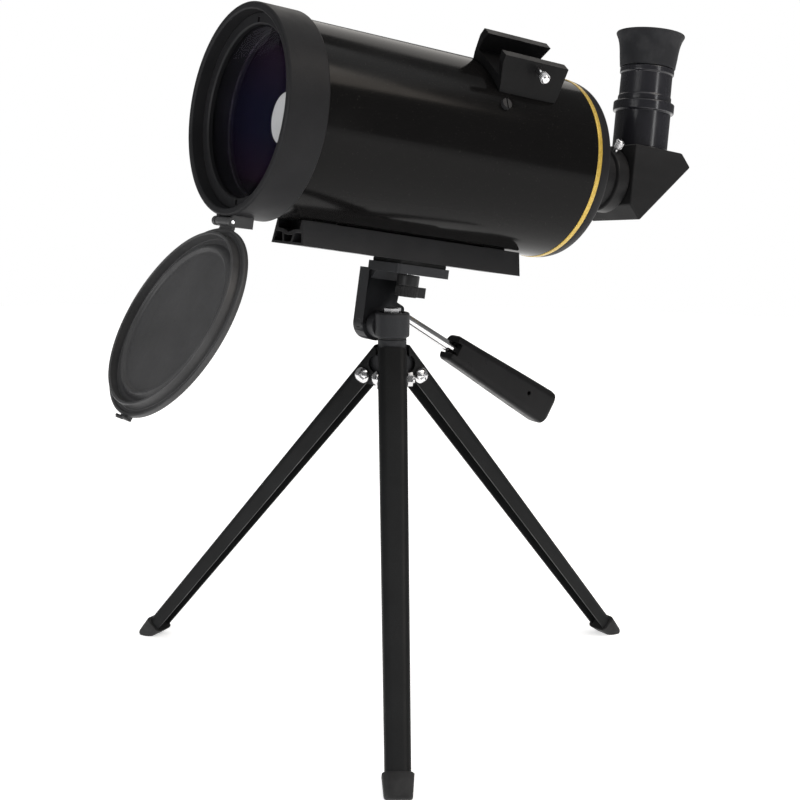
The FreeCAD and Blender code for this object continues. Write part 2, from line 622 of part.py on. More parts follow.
def build_finder_shoe():
    outline = [(-17.6, 48.0), (17.6, 48.0), (17.2, 54.5), (14.0, SHOE_TOP), (8.6, SHOE_TOP), (13.2, SHOE_FLOOR),
               (-13.2, SHOE_FLOOR), (-8.6, SHOE_TOP), (-14.0, SHOE_TOP), (-17.2, 54.5)]
    shoe = prism([V(x, SHOE_T0, h) for x, h in outline], V(0, SHOE_T1 - SHOE_T0, 0))
    shoe = shoe.cut(rod(TUBE_R, V(0, 100, 0), V(0, 200, 0)))
    ramp = prism([V(-20, SHOE_T0 - 1, 50), V(-20, SHOE_T0 + 5, 50), V(-20, SHOE_T0 - 1, 69)], V(40, 0, 0))
    shoe = shoe.cut(ramp)
    mid_t = (SHOE_T0 + SHOE_T1) / 2
    screw_t = mid_t + 2.5
    shoe = shoe.cut(rod(1.85, V(5, screw_t, SHOE_SCREW_H), V(25, screw_t, SHOE_SCREW_H)))
    screws = []
    for t in (SHOE_T0 + 10, SHOE_T1 - 10):
        shoe = shoe.cut(rod(3.5, V(0, t, 56.0), V(0, t, 60.0)))
        shoe = shoe.cut(rod(PIVOT_SCREW_R, V(0, t, 50), V(0, t, 60.0)))
        screw = rod(3.5, V(0, t, 56.0), V(0, t, 57.7)).fuse(rod(PIVOT_SCREW_R, V(0, t, 50.4), V(0, t, 56.5)))
        slot = block(-2.2, 2.2, t - 0.5, t + 0.5, 57.0, 58.0)
        screws.append(screw.cut(slot.fuse(turned(slot, V(0, t, 0), Z_AXIS, 90))))
    add("finder_shoe", from_shoe(shoe))
    add("shoe_screws", from_shoe(Part.makeCompound(screws)))
    thumb = rod(1.8, V(10.4, screw_t, SHOE_SCREW_H), V(19.4, screw_t, SHOE_SCREW_H))
    thumb = thumb.fuse(knurled(2.9, 0.3, 18, V(19.2, screw_t, SHOE_SCREW_H), V(24.2, screw_t, SHOE_SCREW_H)))
    thumb = thumb.fuse(rod(2.1, V(24.2, screw_t, SHOE_SCREW_H), V(24.9, screw_t, SHOE_SCREW_H)))
    add("shoe_thumbscrew", from_shoe(thumb))


def radial_thumbscrew(inner, neck, outer, shank_r, head_r):
    """Thumbscrew along Z between radii, in a frame on the axis that it points at."""
    screw = rod(shank_r, V(0, 0, inner), V(0, 0, neck + 0.4))
    head = knurled(head_r, 0.3, 18, V(0, 0, neck), V(0, 0, outer - 0.7))
    return screw.fuse(head).fuse(rod(head_r - 0.9, V(0, 0, outer - 0.8), V(0, 0, outer)))


def build_back_thumbscrew():
    screw = moved(radial_thumbscrew(NOSE_R + 0.1, 21.6, 27.6, 1.45, 2.7), V(0, BACK_SCREW_T, 0))
    add("back_thumbscrew", from_tube(turned(screw, ORIGIN, Y_AXIS, BACK_SCREW_ANGLE)))


# ---- dust cap -------------------------------------------------------------------------------
def build_cap_hinge():
    hollow = rod(RING_R, V(0, -10, 0), V(0, 40, 0))
    start, end = V(-10, HINGE_T, HINGE_H), V(10, HINGE_T, HINGE_H)
    bracket = block(-10, 10, 6.1, 13.5, HINGE_H - 2.5, -53.0)
    for x in (-10, 7.1):
        ear = block(x, x + 2.9, HINGE_T, 13.5, HINGE_H - 2.5, -53.0)
        ear = ear.fuse(rod(2.5, V(x, HINGE_T, HINGE_H), V(x + 2.9, HINGE_T, HINGE_H)))
        bracket = bracket.fuse(ear)
    bracket = bracket.cut(hollow).cut(rod(1.0, start - V(1, 0, 0), end + V(1, 0, 0)))
    add("cap_hinge", from_tube(bracket))
    pin = rod(1.0, start - V(0.2, 0, 0), end + V(0.2, 0, 0))
    add("hinge_pin", from_tube(pin))


def build_cap():
    """Dust cap, drawn closed on the ring and then swung open about its pin."""
    cap = spun([
        (0, -3.4), (54.4, -3.4), (55.4, -3.0), (55.7, -2.2), (55.7, -0.6), (55.2, -0.2), (54.0, -0.2), (53.6, -0.9),
        (51.7, -1.2), (51.1, 3.6), (50.7, 4.0), (49.8, 4.0), (49.4, 3.6), (49.2, -1.2), (46.2, -1.2), (43.8, 1.1),
        (43.0, 1.5), (42.3, 1.3), (41.4, -0.2), (40.4, -0.6), (0, -0.6),
    ])
    arm_profile = [V(-6.6, -3.2, -50.0), V(-6.6, -3.2, -56.6), V(-6.6, -0.9, -60.8), V(-6.6, 1.5, -60.9),
                   V(-6.6, 1.5, -57.0), V(-6.6, -0.4, -56.6), V(-6.6, -0.4, -53.6), V(-6.6, -2.6, -50.0)]
    arm = prism(arm_profile, V(13.2, 0, 0))
    knuckle = rod(2.3, V(-6.6, HINGE_T, HINGE_H), V(6.6, HINGE_T, HINGE_H))
    cap = cap.fuse(arm).fuse(knuckle)
    cap = cap.cut(rod(1.06, V(-8, HINGE_T, HINGE_H), V(8, HINGE_T, HINGE_H)))
    latch = block(-4.8, 4.8, -3.4, 2.0, RING_R + 0.35, RING_R + 1.7)
    latch = latch.fuse(block(-4.8, 4.8, -3.4, -0.6, RING_R - 1.0, RING_R + 1.7))
    latch = latch.fuse(block(-3.8, 3.8, 0.8, 2.0, RING_R + 0.35, RING_R + 2.4))
    add("dust_cap", open_cap(cap))
    add("cap_latch", open_cap(latch.cut(cap)))


def open_cap(shape):
    """Closed cap shape to world, at the rest opening."""
    return from_tube(turned(shape, V(0, HINGE_T, HINGE_H), X_AXIS, CAP_OPEN))


# ---- star diagonal and eyepiece ---------------------------------------------------------------
def build_diagonal():
    outer = [(STAR_FACE_T, STAR_TOP), (297.3, STAR_TOP), (305.3, 13.8), (267.8, -23.7), (STAR_FACE_T, -15.2)]
    inner = [(262.0, 18.5), (262.0, -13.5), (267.2, -18.4), (268.8, -18.4), (300.6, 13.4), (295.5, 18.5)]
    glass = [(266.5, -15.0), (294.0, 12.5), (296.83, 9.67), (269.33, -17.83)]

    def slab(points, half):
        return prism([V(-half, t, h) for t, h in points], V(2 * half, 0, 0))

    housing = slab(outer, STAR_HALF)
    housing = softened(housing, 1.2, lambda e: not is_straight_along(e, X_AXIS))
    housing = housing.cut(slab(inner, STAR_HALF - 3))
    housing = housing.cut(rod(NOSE_R, V(0, 250, 0), V(0, 264, 0)))
    housing = housing.cut(rod(HOLDER_R, V(0, STAR_T, 17), V(0, STAR_T, 30)))
    add("diagonal_housing", from_star(housing))
    add("diagonal_mirror", from_star(slab(glass, 17.0)))
    add("diagonal_nose", from_star(pipe(NOSE_R, 14.5, V(0, 231, 0), V(0, 262, 0))))

    holder = moved(spun([
        (14.6, 18.5), (HOLDER_R, 18.5), (HOLDER_R, 45.2), (COLLAR_R - 0.5, 45.2), (COLLAR_R, 45.7),
        (COLLAR_R, COLLAR_TOP - 0.6), (COLLAR_R - 0.6, COLLAR_TOP), (NOSE_BORE_R, COLLAR_TOP),
        (NOSE_BORE_R, 25.0), (14.6, 25.0),
    ], Z_AXIS), V(0, STAR_T, 0))
    hole = rod(1.5, V(0, 0, 14), V(0, 0, 20))
    add("eyepiece_holder", from_star(holder.cut(holder_screw_placed(hole))))
    screw = radial_thumbscrew(NOSE_R + 0.1, 18.1, 23.4, 1.45, 2.7)
    add("holder_thumbscrew", from_star(holder_screw_placed(screw)))


def holder_screw_placed(shape):
    """Radial shape along Z to its place on the eyepiece holder, in the star frame."""
    flat = turned(shape, ORIGIN, X_AXIS, 90)
    aimed = turned(flat, ORIGIN, Z_AXIS, HOLDER_SCREW_TURN)
    return moved(aimed, V(0, STAR_T, 41.0))


def build_eyepiece():
    centre = V(0, STAR_T, 0)
    barrel = pipe(NOSE_R, 14.4, V(0, STAR_T, 27.0), V(0, STAR_T, 51.7))
    groove = pipe(17.0, 15.4, V(0, STAR_T, 38.5), V(0, STAR_T, 43.5))
    add("eyepiece_barrel", from_star(barrel.cut(groove)))
    body = spun([
        (14.4, 51.7), (16.5, 51.7), (16.5, 55.0), (16.0, 55.6), (15.9, 68.8),
        (16.7, 69.4), (16.7, 72.4), (15.6, 73.0), (15.6, 84.0), (13.0, 86.4), (10.0, 86.4), (10.0, 82.0),
        (9.0, 81.0), (9.0, 60.0), (14.4, 57.0),
    ], Z_AXIS)
    add("eyepiece_body", from_star(moved(body, centre)))
    cup = spun([
        (15.6, 73.1), (17.1, 73.1), (17.9, 80.0), (18.6, 86.0), (19.7, 90.4), (21.3, 93.4), (20.9, 94.4),
        (20.1, 94.2), (18.4, 89.6), (16.4, 84.6), (15.6, 84.0),
    ], Z_AXIS)
    add("eyecup", from_star(moved(cup, centre)))
    eye = rod(10.0, V(0, STAR_T, 82.0), V(0, STAR_T, 85.0))
    eye = eye.common(Part.makeSphere(30.0, V(0, STAR_T, 55.4)))
    field = rod(14.4, V(0, STAR_T, 44.0), V(0, STAR_T, 49.0))
    field = field.common(Part.makeSphere(45.0, V(0, STAR_T, 91.2)))
    add("eyepiece_lenses", from_star(Part.makeCompound([eye, field])))


def build_trim():
    screw = rod(2.4, V(0, 138.0, 50.6), V(0, 138.0, 53.4)).fuse(rod(3.0, V(0, 138.0, 53.0), V(0, 138.0, 55.4)))
    screw = screw.cut(block(-3.2, 3.2, 137.6, 138.4, 54.6, 56.0))
    plain = turned(screw, ORIGIN, Y_AXIS, 62.0)
    tube = NODES["main_tube"]
    NODES["main_tube"] = tube.cut(from_tube(plain))
    add("tube_screw", from_tube(plain))


build_tripod()
build_pan_head()
build_bracket()
build_camera_screw()
build_handle()
build_front()
build_tube()
build_mirror()
build_focus_knob()
build_dovetail()
build_finder_shoe()
build_back_thumbscrew()
build_cap_hinge()
build_cap()
build_diagonal()
build_eyepiece()
build_trim()

os.makedirs("parts", exist_ok=True)
for node_name, node_shape in NODES.items():
    node_shape.exportStep("parts/" + node_name + ".step")
    box = node_shape.BoundBox
    print(
        f"{node_name:20s} solids {len(node_shape.Solids)}  "
        f"x {box.XMin:7.1f} {box.XMax:7.1f}  y {box.YMin:7.1f} {box.YMax:7.1f}  z {box.ZMin:7.1f} {box.ZMax:7.1f}"
    )
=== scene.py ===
"""Looks of the telescope on its mini tripod. Lengths in the shape code are millimetres."""
import math

import bmesh
import bpy
from mathutils import Matrix, Vector


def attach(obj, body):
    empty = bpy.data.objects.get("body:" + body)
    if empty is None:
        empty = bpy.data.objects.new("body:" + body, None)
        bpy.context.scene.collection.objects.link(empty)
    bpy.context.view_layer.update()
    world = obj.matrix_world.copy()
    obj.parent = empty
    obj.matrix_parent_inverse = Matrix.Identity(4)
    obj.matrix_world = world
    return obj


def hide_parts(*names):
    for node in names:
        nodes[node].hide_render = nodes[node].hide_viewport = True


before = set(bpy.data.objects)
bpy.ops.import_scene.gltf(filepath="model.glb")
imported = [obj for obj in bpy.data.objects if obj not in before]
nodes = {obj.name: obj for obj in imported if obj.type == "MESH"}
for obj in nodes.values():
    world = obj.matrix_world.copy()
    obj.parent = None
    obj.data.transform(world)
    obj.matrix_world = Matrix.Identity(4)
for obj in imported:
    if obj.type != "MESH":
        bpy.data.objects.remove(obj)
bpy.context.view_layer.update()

MM = 0.001
PITCH = 8.15                            # front of the tube raised, in degrees
TILT_AXIS = (0.0, -2.5, 208.5)
TUBE_ORIGIN = (0.0, -112.6, 103.8)      # centre of the front rim, from the tilt axis
SHOE_ANGLE = 34.0                       # finder shoe, round the tube
STAR_CLOCK = -4.0                       # star diagonal, round the tube
STAR_T = 281.5                          # eyepiece axis, along the tube
HINGE = (0.0, 1.5, -58.6)               # cap hinge pin, in the tube's frame
CAP_OPEN = 156.8
KNOB = (-33.0, 0.0, -8.5)               # focus knob, in the tube's frame
CAMERA_SCREW_Y = 8.9
CHEEK_X = -17.8                         # middle of the tilt bracket's upright
HANDLE_DROP = 22.15
HANDLE_ROOT = (CHEEK_X, 17.2, 6.96)
LEG_PIVOT_R = 14.5
LEG_PIVOT_Z = 180.0
LEG_SPLAY = 41.0                        # leg from the vertical, in degrees
LEG_END = -230.0                        # ends of a leg, along it from its pivot
LEG_TOP = 17.0
LEGS = (("rear", 90.0), ("left", 210.0), ("right", 329.1))


def shift(x, y, z):
    """Move by millimetres."""
    return Matrix.Translation(Vector((x, y, z)) * MM)


def turn(degrees, axis):
    return Matrix.Rotation(math.radians(degrees), 4, axis)


def leg_frame(azimuth):
    """Frame at a leg's pivot, with Z up along the leg."""
    return turn(azimuth, "Z") @ shift(LEG_PIVOT_R, 0, LEG_PIVOT_Z) @ turn(-LEG_SPLAY, "Y")


WORLD = Matrix.Identity(4)
HEAD = shift(*TILT_AXIS) @ turn(-PITCH, "X")
TUBE = HEAD @ shift(*TUBE_ORIGIN)
STAR = TUBE @ turn(STAR_CLOCK, "Y")
SHOE = TUBE @ turn(SHOE_ANGLE, "Y")
CAP = TUBE @ shift(*HINGE) @ turn(CAP_OPEN, "X") @ shift(-HINGE[0], -HINGE[1], -HINGE[2])
HANDLE = HEAD @ shift(*HANDLE_ROOT) @ turn(-HANDLE_DROP, "X") @ turn(-90, "X")
CLAMP = HEAD @ shift(CHEEK_X, 0, -1.2) @ turn(90, "X")
SCREW = HEAD @ shift(0, CAMERA_SCREW_Y, 0)
AXLE = shift(*TILT_AXIS) @ turn(90, "Y")


# ---- materials ----------------------------------------------------------------------------
class Recipe:
    """Small helper for one node material built round a Principled shader."""

    def __init__(self, name):
        self.material = bpy.data.materials.new(name)
        self.material.use_nodes = True
        self.tree = self.material.node_tree
        self.tree.nodes.clear()
        self.output = self.tree.nodes.new("ShaderNodeOutputMaterial")
        self.shader = self.tree.nodes.new("ShaderNodeBsdfPrincipled")
        self.tree.links.new(self.shader.outputs[0], self.output.inputs[0])
        self.coordinates = self.tree.nodes.new("ShaderNodeTexCoord").outputs["Object"]

    def set(self, **values):
        """Constants on the shader's own sockets."""
        for key, value in values.items():
            self.shader.inputs[key.replace("_", " ")].default_value = value

    def noise(self, scale, detail=4.0, stretch=(1, 1, 1)):
        mapping = self.tree.nodes.new("ShaderNodeMapping")
        mapping.inputs["Scale"].default_value = stretch
        texture = self.tree.nodes.new("ShaderNodeTexNoise")
        texture.inputs["Scale"].default_value = scale
        texture.inputs["Detail"].default_value = detail
        texture.inputs["Roughness"].default_value = 0.55
        self.tree.links.new(self.coordinates, mapping.inputs["Vector"])
        self.tree.links.new(mapping.outputs[0], texture.inputs["Vector"])
        return texture.outputs["Fac"]

    def cells(self, scale):
        texture = self.tree.nodes.new("ShaderNodeTexVoronoi")
        texture.inputs["Scale"].default_value = scale
        self.tree.links.new(self.coordinates, texture.inputs["Vector"])
        return texture.outputs["Distance"]

    def combine(self, operation, *values):
        """Arithmetic on the outputs of other nodes."""
        node = self.tree.nodes.new("ShaderNodeMath")
        node.operation = operation
        for value, socket in zip(values, node.inputs):
            self.tree.links.new(value, socket)
        return node.outputs[0]

    def ramp(self, value, low, high, first, second):
        """Value between low and high, mapped to between first and second."""
        node = self.tree.nodes.new("ShaderNodeMapRange")
        node.inputs["From Min"].default_value = low
        node.inputs["From Max"].default_value = high
        node.inputs["To Min"].default_value = first
        node.inputs["To Max"].default_value = second
        self.tree.links.new(value, node.inputs["Value"])
        return node.outputs["Result"]

    def blend(self, factor, first, second):
        """Mix of two colours, either of which may come from another node."""
        node = self.tree.nodes.new("ShaderNodeMix")
        node.data_type = "RGBA"
        self.tree.links.new(factor, node.inputs["Factor"])
        colour_sockets = [s for s in node.inputs if s.type == "RGBA"]
        for socket, value in zip(colour_sockets, (first, second)):
            if isinstance(value, tuple):
                socket.default_value = (*value, 1)
            else:
                self.tree.links.new(value, socket)
        return [s for s in node.outputs if s.type == "RGBA"][0]

    def colour(self, value):
        self.tree.links.new(value, self.shader.inputs["Base Color"])

    def roughness(self, value):
        self.tree.links.new(value, self.shader.inputs["Roughness"])

    def bump(self, heights, edge=0.25):
        """Stacked (height, distance in mm, strength) bumps over a softly rounded edge."""
        rounded = self.tree.nodes.new("ShaderNodeBevel")
        rounded.samples = 4
        rounded.inputs["Radius"].default_value = edge * MM
        normal = rounded.outputs[0]
        for height, distance, strength in heights:
            node = self.tree.nodes.new("ShaderNodeBump")
            node.inputs["Strength"].default_value = strength
            node.inputs["Distance"].default_value = distance * MM
            self.tree.links.new(height, node.inputs["Height"])
            self.tree.links.new(normal, node.inputs["Normal"])
            normal = node.outputs[0]
        self.tree.links.new(normal, self.shader.inputs["Normal"])


def gloss_lacquer():
    """Black lacquer of the tube, with haze and a little dust."""
    m = Recipe("gloss_lacquer")
    dust = m.ramp(m.noise(900, 2), 0.66, 0.72, 0, 1)
    haze = m.noise(22, 3)
    m.colour(m.blend(dust, (0.0055, 0.0053, 0.0053), (0.016, 0.015, 0.014)))
    m.roughness(m.ramp(haze, 0.3, 0.7, 0.10, 0.18))
    m.set(Specular_IOR_Level=0.095)
    m.bump([(m.noise(230, 2), 0.05, 0.10), (m.noise(24, 1), 0.30, 0.10)])
    return m.material


def powder_coat(name, base, grain, rough, bump, level):
    """Satin or matt paint with a fine grain, lightly rubbed in places."""
    m = Recipe(name)
    cloud = m.noise(45, 4)
    speck = m.noise(grain * 1.6, 2)
    lighter = tuple(c * 1.55 + 0.003 for c in base)
    rubbed = m.combine("MULTIPLY", m.ramp(cloud, 0.35, 0.75, 0.1, 0.8), m.ramp(speck, 0.4, 0.7, 0.2, 1.0))
    m.colour(m.blend(rubbed, base, lighter))
    m.roughness(m.ramp(m.noise(70, 3), 0.3, 0.7, rough - 0.06, rough + 0.07))
    m.set(Specular_IOR_Level=level)
    m.bump([(m.noise(grain, 3), 0.05, bump), (m.cells(grain * 0.7), 0.03, bump * 0.5)], 0.35)
    return m.material


def moulded_plastic(name, base, rough, texture, depth, level):
    """Injection-moulded plastic with a spark-eroded skin."""
    m = Recipe(name)
    flow = m.noise(30, 3, (1, 0.25, 1))
    m.colour(m.blend(m.ramp(flow, 0.3, 0.7, 0, 1), base, tuple(c * 1.35 + 0.002 for c in base)))
    m.roughness(m.ramp(m.noise(110, 4), 0.3, 0.7, rough - 0.07, rough + 0.09))
    m.set(Specular_IOR_Level=level)
    m.bump([(m.cells(texture), 0.03, depth), (m.noise(texture * 0.5, 2), 0.03, depth)], 0.35)
    return m.material


def rubber(name, base, rough=0.62):
    """Moulded rubber, a little dusty, with a pebbled skin."""
    m = Recipe(name)
    dust = m.ramp(m.noise(65, 5), 0.45, 0.8, 0, 1)
    m.colour(m.blend(dust, base, tuple(c + 0.022 for c in base)))
    m.roughness(m.ramp(m.noise(160, 3), 0.3, 0.7, rough - 0.06, rough + 0.12))
    m.set(Specular_IOR_Level=0.22, Sheen_Weight=0.05, Sheen_Roughness=0.5)
    m.bump([(m.noise(800, 3), 0.05, 0.45), (m.noise(90, 2), 0.12, 0.15)], 0.5)
    return m.material


def bright_metal(name, base, rough, stretch):
    """Plated or turned metal with fine machining lines and faint smudges."""
    m = Recipe(name)
    line = m.noise(420, 3, stretch)
    smudge = m.noise(120, 3)
    m.colour(m.blend(m.ramp(smudge, 0.35, 0.7, 0, 1), base, tuple(c * 0.86 for c in base)))
    m.roughness(m.ramp(smudge, 0.3, 0.7, rough, rough + 0.10))
    m.set(Metallic=1.0)
    m.bump([(line, 0.02, 0.16)], 0.2)
    return m.material


def gold_paint():
    """Metallic gold paint of the trim ring."""
    m = Recipe("gold_paint")
    grain = m.noise(700, 3)
    m.colour(m.blend(m.ramp(grain, 0.35, 0.7, 0, 1), (0.50, 0.33, 0.045), (0.66, 0.47, 0.10)))
    m.roughness(m.ramp(m.noise(90, 3), 0.3, 0.7, 0.30, 0.42))
    m.set(Metallic=0.35, Specular_IOR_Level=0.5, Coat_Weight=0.25, Coat_Roughness=0.15)
    m.bump([(grain, 0.02, 0.2)])
    return m.material


def coated_lens(name, rim):
    """Coated glass: blue violet inside, with painted reflection redder towards the top and bottom and painted
    shade towards its rim.
    """
    m = Recipe(name)
    reach = 0.047
    axes = m.tree.nodes.new("ShaderNodeSeparateXYZ")
    m.tree.links.new(m.coordinates, axes.inputs[0])
    # painted reflection: the coating's colour is made redder towards the top and bottom of the glass
    height = m.ramp(m.combine("ABSOLUTE", axes.outputs["Z"]), 0.15 * reach, 0.8 * reach, 0, 0.8)
    painted_reflection_mix = m.combine("ADD", height, m.ramp(m.noise(20, 2), 0.3, 0.7, -0.1, 0.2))
    painted_lens_colour = m.blend(painted_reflection_mix, (0.012, 0.014, 0.046), (0.040, 0.014, 0.038))
    # painted shade: towards its rim the glass is darkened, where the tube's dark inside would show through
    if rim:
        flat = m.tree.nodes.new("ShaderNodeVectorMath")
        flat.operation = "MULTIPLY"
        flat.inputs[1].default_value = (1, 0, 1)
        m.tree.links.new(m.coordinates, flat.inputs[0])
        distance = m.tree.nodes.new("ShaderNodeVectorMath")
        distance.operation = "LENGTH"
        m.tree.links.new(flat.outputs[0], distance.inputs[0])
        edge = m.ramp(distance.outputs["Value"], 0.70 * reach, 0.86 * reach, 0, 1)
        painted_lens_colour = m.blend(edge, painted_lens_colour, (0.002, 0.002, 0.004))
    m.colour(painted_lens_colour)
    m.roughness(m.ramp(m.noise(200, 2), 0.35, 0.75, 0.02, 0.04))
    m.set(Alpha=0.15, Specular_IOR_Level=0.42, Specular_Tint=(0.68, 0.58, 1.0, 1))
    m.bump([(m.noise(8, 1), 0.02, 0.03)], 0.1)
    return m.material


def silvering(name, base, rough, metallic=0.0):
    """Mirror coating, faintly uneven."""
    m = Recipe(name)
    m.colour(m.blend(m.ramp(m.noise(60, 3), 0.3, 0.7, 0, 1), base, tuple(c * 0.95 for c in base)))
    m.roughness(m.ramp(m.noise(140, 3), 0.3, 0.7, rough, rough + 0.06))
    m.set(Metallic=metallic)
    m.bump([(m.noise(300, 2), 0.01, 0.05)], 0.1)
    return m.material


LACQUER = gloss_lacquer()
RING_PAINT = powder_coat("ring_paint", (0.0140, 0.0140, 0.0150), 1500, 0.44, 0.22, 0.10)
RETAINER_PAINT = powder_coat("retainer_paint", (0.011, 0.011, 0.012), 1500, 0.48, 0.22, 0.14)
INNER_BLACK = powder_coat("inner_black", (0.003, 0.003, 0.0035), 900, 0.72, 0.4, 0.08)
BAR_PAINT = powder_coat("bar_paint", (0.0180, 0.0180, 0.0190), 1300, 0.36, 0.22, 0.24)
SHOE_PAINT = powder_coat("shoe_paint", (0.0055, 0.0055, 0.0058), 1300, 0.38, 0.28, 0.09)
LEG_PAINT = powder_coat("leg_paint", (0.0100, 0.0104, 0.0108), 1100, 0.46, 0.30, 0.10)
HEAD_PAINT = powder_coat("head_paint", (0.0230, 0.0238, 0.0260), 1000, 0.46, 0.32, 0.20)
CAP_PLASTIC = moulded_plastic("cap_plastic", (0.0400, 0.0400, 0.0410), 0.42, 1400, 0.22, 0.28)
GRIP_PLASTIC = moulded_plastic("grip_plastic", (0.0085, 0.0085, 0.009), 0.32, 1300, 0.25, 0.12)
KNOB_PLASTIC = moulded_plastic("knob_plastic", (0.0115, 0.0115, 0.012), 0.38, 1500, 0.25, 0.30)
STAR_PLASTIC = moulded_plastic("star_plastic", (0.0150, 0.0150, 0.0155), 0.40, 1400, 0.25, 0.09)
BACK_PAINT = powder_coat("back_paint", (0.0125, 0.0125, 0.0130), 1300, 0.42, 0.22, 0.12)
EYE_PAINT = powder_coat("eye_paint", (0.0150, 0.0150, 0.0185), 1300, 0.20, 0.14, 0.50)
CUP_RUBBER = rubber("cup_rubber", (0.0135, 0.0140, 0.0165))
FOOT_RUBBER = rubber("foot_rubber", (0.0085, 0.0085, 0.0088), 0.55)
PAD_RUBBER = rubber("pad_rubber", (0.010, 0.010, 0.010), 0.7)
CHROME = bright_metal("chrome", (0.80, 0.80, 0.81), 0.10, (1, 1, 12))
STEEL = bright_metal("steel", (0.55, 0.55, 0.56), 0.22, (1, 10, 1))
ALUMINIUM = bright_metal("aluminium", (0.70, 0.70, 0.71), 0.28, (1, 12, 1))
BRASS = bright_metal("brass", (0.55, 0.40, 0.16), 0.25, (1, 12, 1))
GOLD = gold_paint()
LENS = coated_lens("coated_lens", True)
EYE_GLASS = coated_lens("eye_glass", False)
SPOT = silvering("secondary_silver", (0.90, 0.91, 0.90), 0.32)
MIRROR = silvering("mirror_silver", (0.55, 0.55, 0.60), 0.06, 1.0)


# ---- mesh tools ---------------------------------------------------------------------------
def rounded_outline(points, radius, steps=4):
    """Closed outline with each corner rounded, as far as its neighbours leave room."""
    result = []
    count = len(points)
    for i, point in enumerate(points):
        here = Vector(point)
        before = Vector(points[i - 1]) - here
        after = Vector(points[(i + 1) % count]) - here
        reach = min(radius, before.length * 0.45, after.length * 0.45)
        turn_angle = math.pi - before.angle(after)
        if turn_angle < math.radians(12) or reach < 1e-4:
            result.append(tuple(here))
            continue
        start = here + before.normalized() * reach
        end = here + after.normalized() * reach
        for k in range(steps + 1):
            f = k / steps
            curve = start * (1 - f) ** 2 + here * 2 * f * (1 - f) + end * f ** 2
            result.append(tuple(curve))
    return result


def finish_mesh(name, bm, matrix, material, body, replaced):
    """Mesh object from a bmesh in millimetres, riding on a body."""
    bmesh.ops.recalc_face_normals(bm, faces=bm.faces)
    mesh = bpy.data.meshes.new(name)
    bmesh.ops.scale(bm, vec=(MM, MM, MM), verts=bm.verts)
    bm.to_mesh(mesh)
    bm.free()
    for face in mesh.polygons:
        face.use_smooth = True
    piece = bpy.data.objects.new(name, mesh)
    bpy.context.scene.collection.objects.link(piece)
    piece.matrix_world = matrix
    bpy.context.view_layer.update()
    mesh.materials.append(material)
    if replaced:
        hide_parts(*replaced)
    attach(piece, body)
    return piece


def bevelled(piece, width, segments=3, angle=28):
    """Rounds the edges that are sharper than an angle."""
    bevel = piece.modifiers.new("bevel", "BEVEL")
    bevel.width = width * MM
    bevel.segments = segments
    bevel.limit_method = "ANGLE"
    bevel.angle_limit = math.radians(angle)
    bevel.use_clamp_overlap = True
    return weighted(piece)


def weighted(piece):
    """Keeps large faces flat in the shading."""
    normals = piece.modifiers.new("normals", "WEIGHTED_NORMAL")
    normals.keep_sharp = True
    normals.weight = 80
    return piece


def lathe_into(bm, profile, axis, centre=(0, 0, 0), radius=0.3, segments=160):
    """Adds a closed profile of (radius, height) pairs, spun about an axis."""
    outline = rounded_outline(profile, radius)
    rings = []
    for r, h in outline:
        if r < 1e-6:
            spot = Vector((0, h, 0)) if axis == "Y" else Vector((0, 0, h))
            rings.append([bm.verts.new(spot + Vector(centre))])
            continue
        ring = []
        for k in range(segments):
            a = 2 * math.pi * k / segments
            x, y = r * math.cos(a), r * math.sin(a)
            spot = Vector((x, h, y)) if axis == "Y" else Vector((x, y, h))
            ring.append(bm.verts.new(spot + Vector(centre)))
        rings.append(ring)
    for i, ring in enumerate(rings):
        other = rings[(i + 1) % len(rings)]
        if len(ring) == 1 and len(other) == 1:
            continue
        for k in range(segments):
            n = (k + 1) % segments
            if len(ring) == 1:
                bm.faces.new((ring[0], other[k], other[n]))
            elif len(other) == 1:
                bm.faces.new((ring[k], ring[n], other[0]))
            else:
                bm.faces.new((ring[k], ring[n], other[n], other[k]))


def lathe(name, profile, matrix, material, body, replaced, axis="Y", centre=(0, 0, 0), radius=0.3,
          segments=160):
    """Turned piece: a closed profile with rounded corners, spun about an axis."""
    bm = bmesh.new()
    lathe_into(bm, profile, axis, centre, radius, segments)
    return weighted(finish_mesh(name, bm, matrix, material, body, replaced))


def extrude_into(bm, outline, plane, start, end):
    """Adds a closed outline pushed along the axis that is not in its plane."""

    def spot(point, depth):
        a, b = point
        if plane == "XZ":
            return Vector((a, depth, b))
        if plane == "YZ":
            return Vector((depth, a, b))
        return Vector((a, b, depth))

    first = [bm.verts.new(spot(p, start)) for p in outline]
    last = [bm.verts.new(spot(p, end)) for p in outline]
    bm.faces.new(first)
    bm.faces.new(list(reversed(last)))
    for i in range(len(outline)):
        n = (i + 1) % len(outline)
        bm.faces.new((first[i], last[i], last[n], first[n]))


def box_into(bm, x, y, z):
    extrude_into(bm, [(x[0], y[0]), (x[1], y[0]), (x[1], y[1]), (x[0], y[1])], "XY", z[0], z[1])


def knurl_outline(radius, depth, teeth):
    """Outline of a knurled wheel, with square teeth."""
    points = []
    for i in range(teeth):
        for part, reach in ((0.0, radius), (0.38, radius), (0.5, radius - depth), (0.88, radius - depth)):
            a = 2 * math.pi * (i + part) / teeth
            points.append((reach * math.cos(a), reach * math.sin(a)))
    return points


def arc(radius, start, end, count, centre=(0, 0)):
    """Points from one angle to another, both included."""
    points = []
    for k in range(count + 1):
        a = math.radians(start + (end - start) * k / count)
        points.append((centre[0] + radius * math.cos(a), centre[1] + radius * math.sin(a)))
    return points


def hexagon(radius, first=0):
    angles = [math.radians(first + side * 60) for side in range(6)]
    return [(radius * math.cos(a), radius * math.sin(a)) for a in angles]


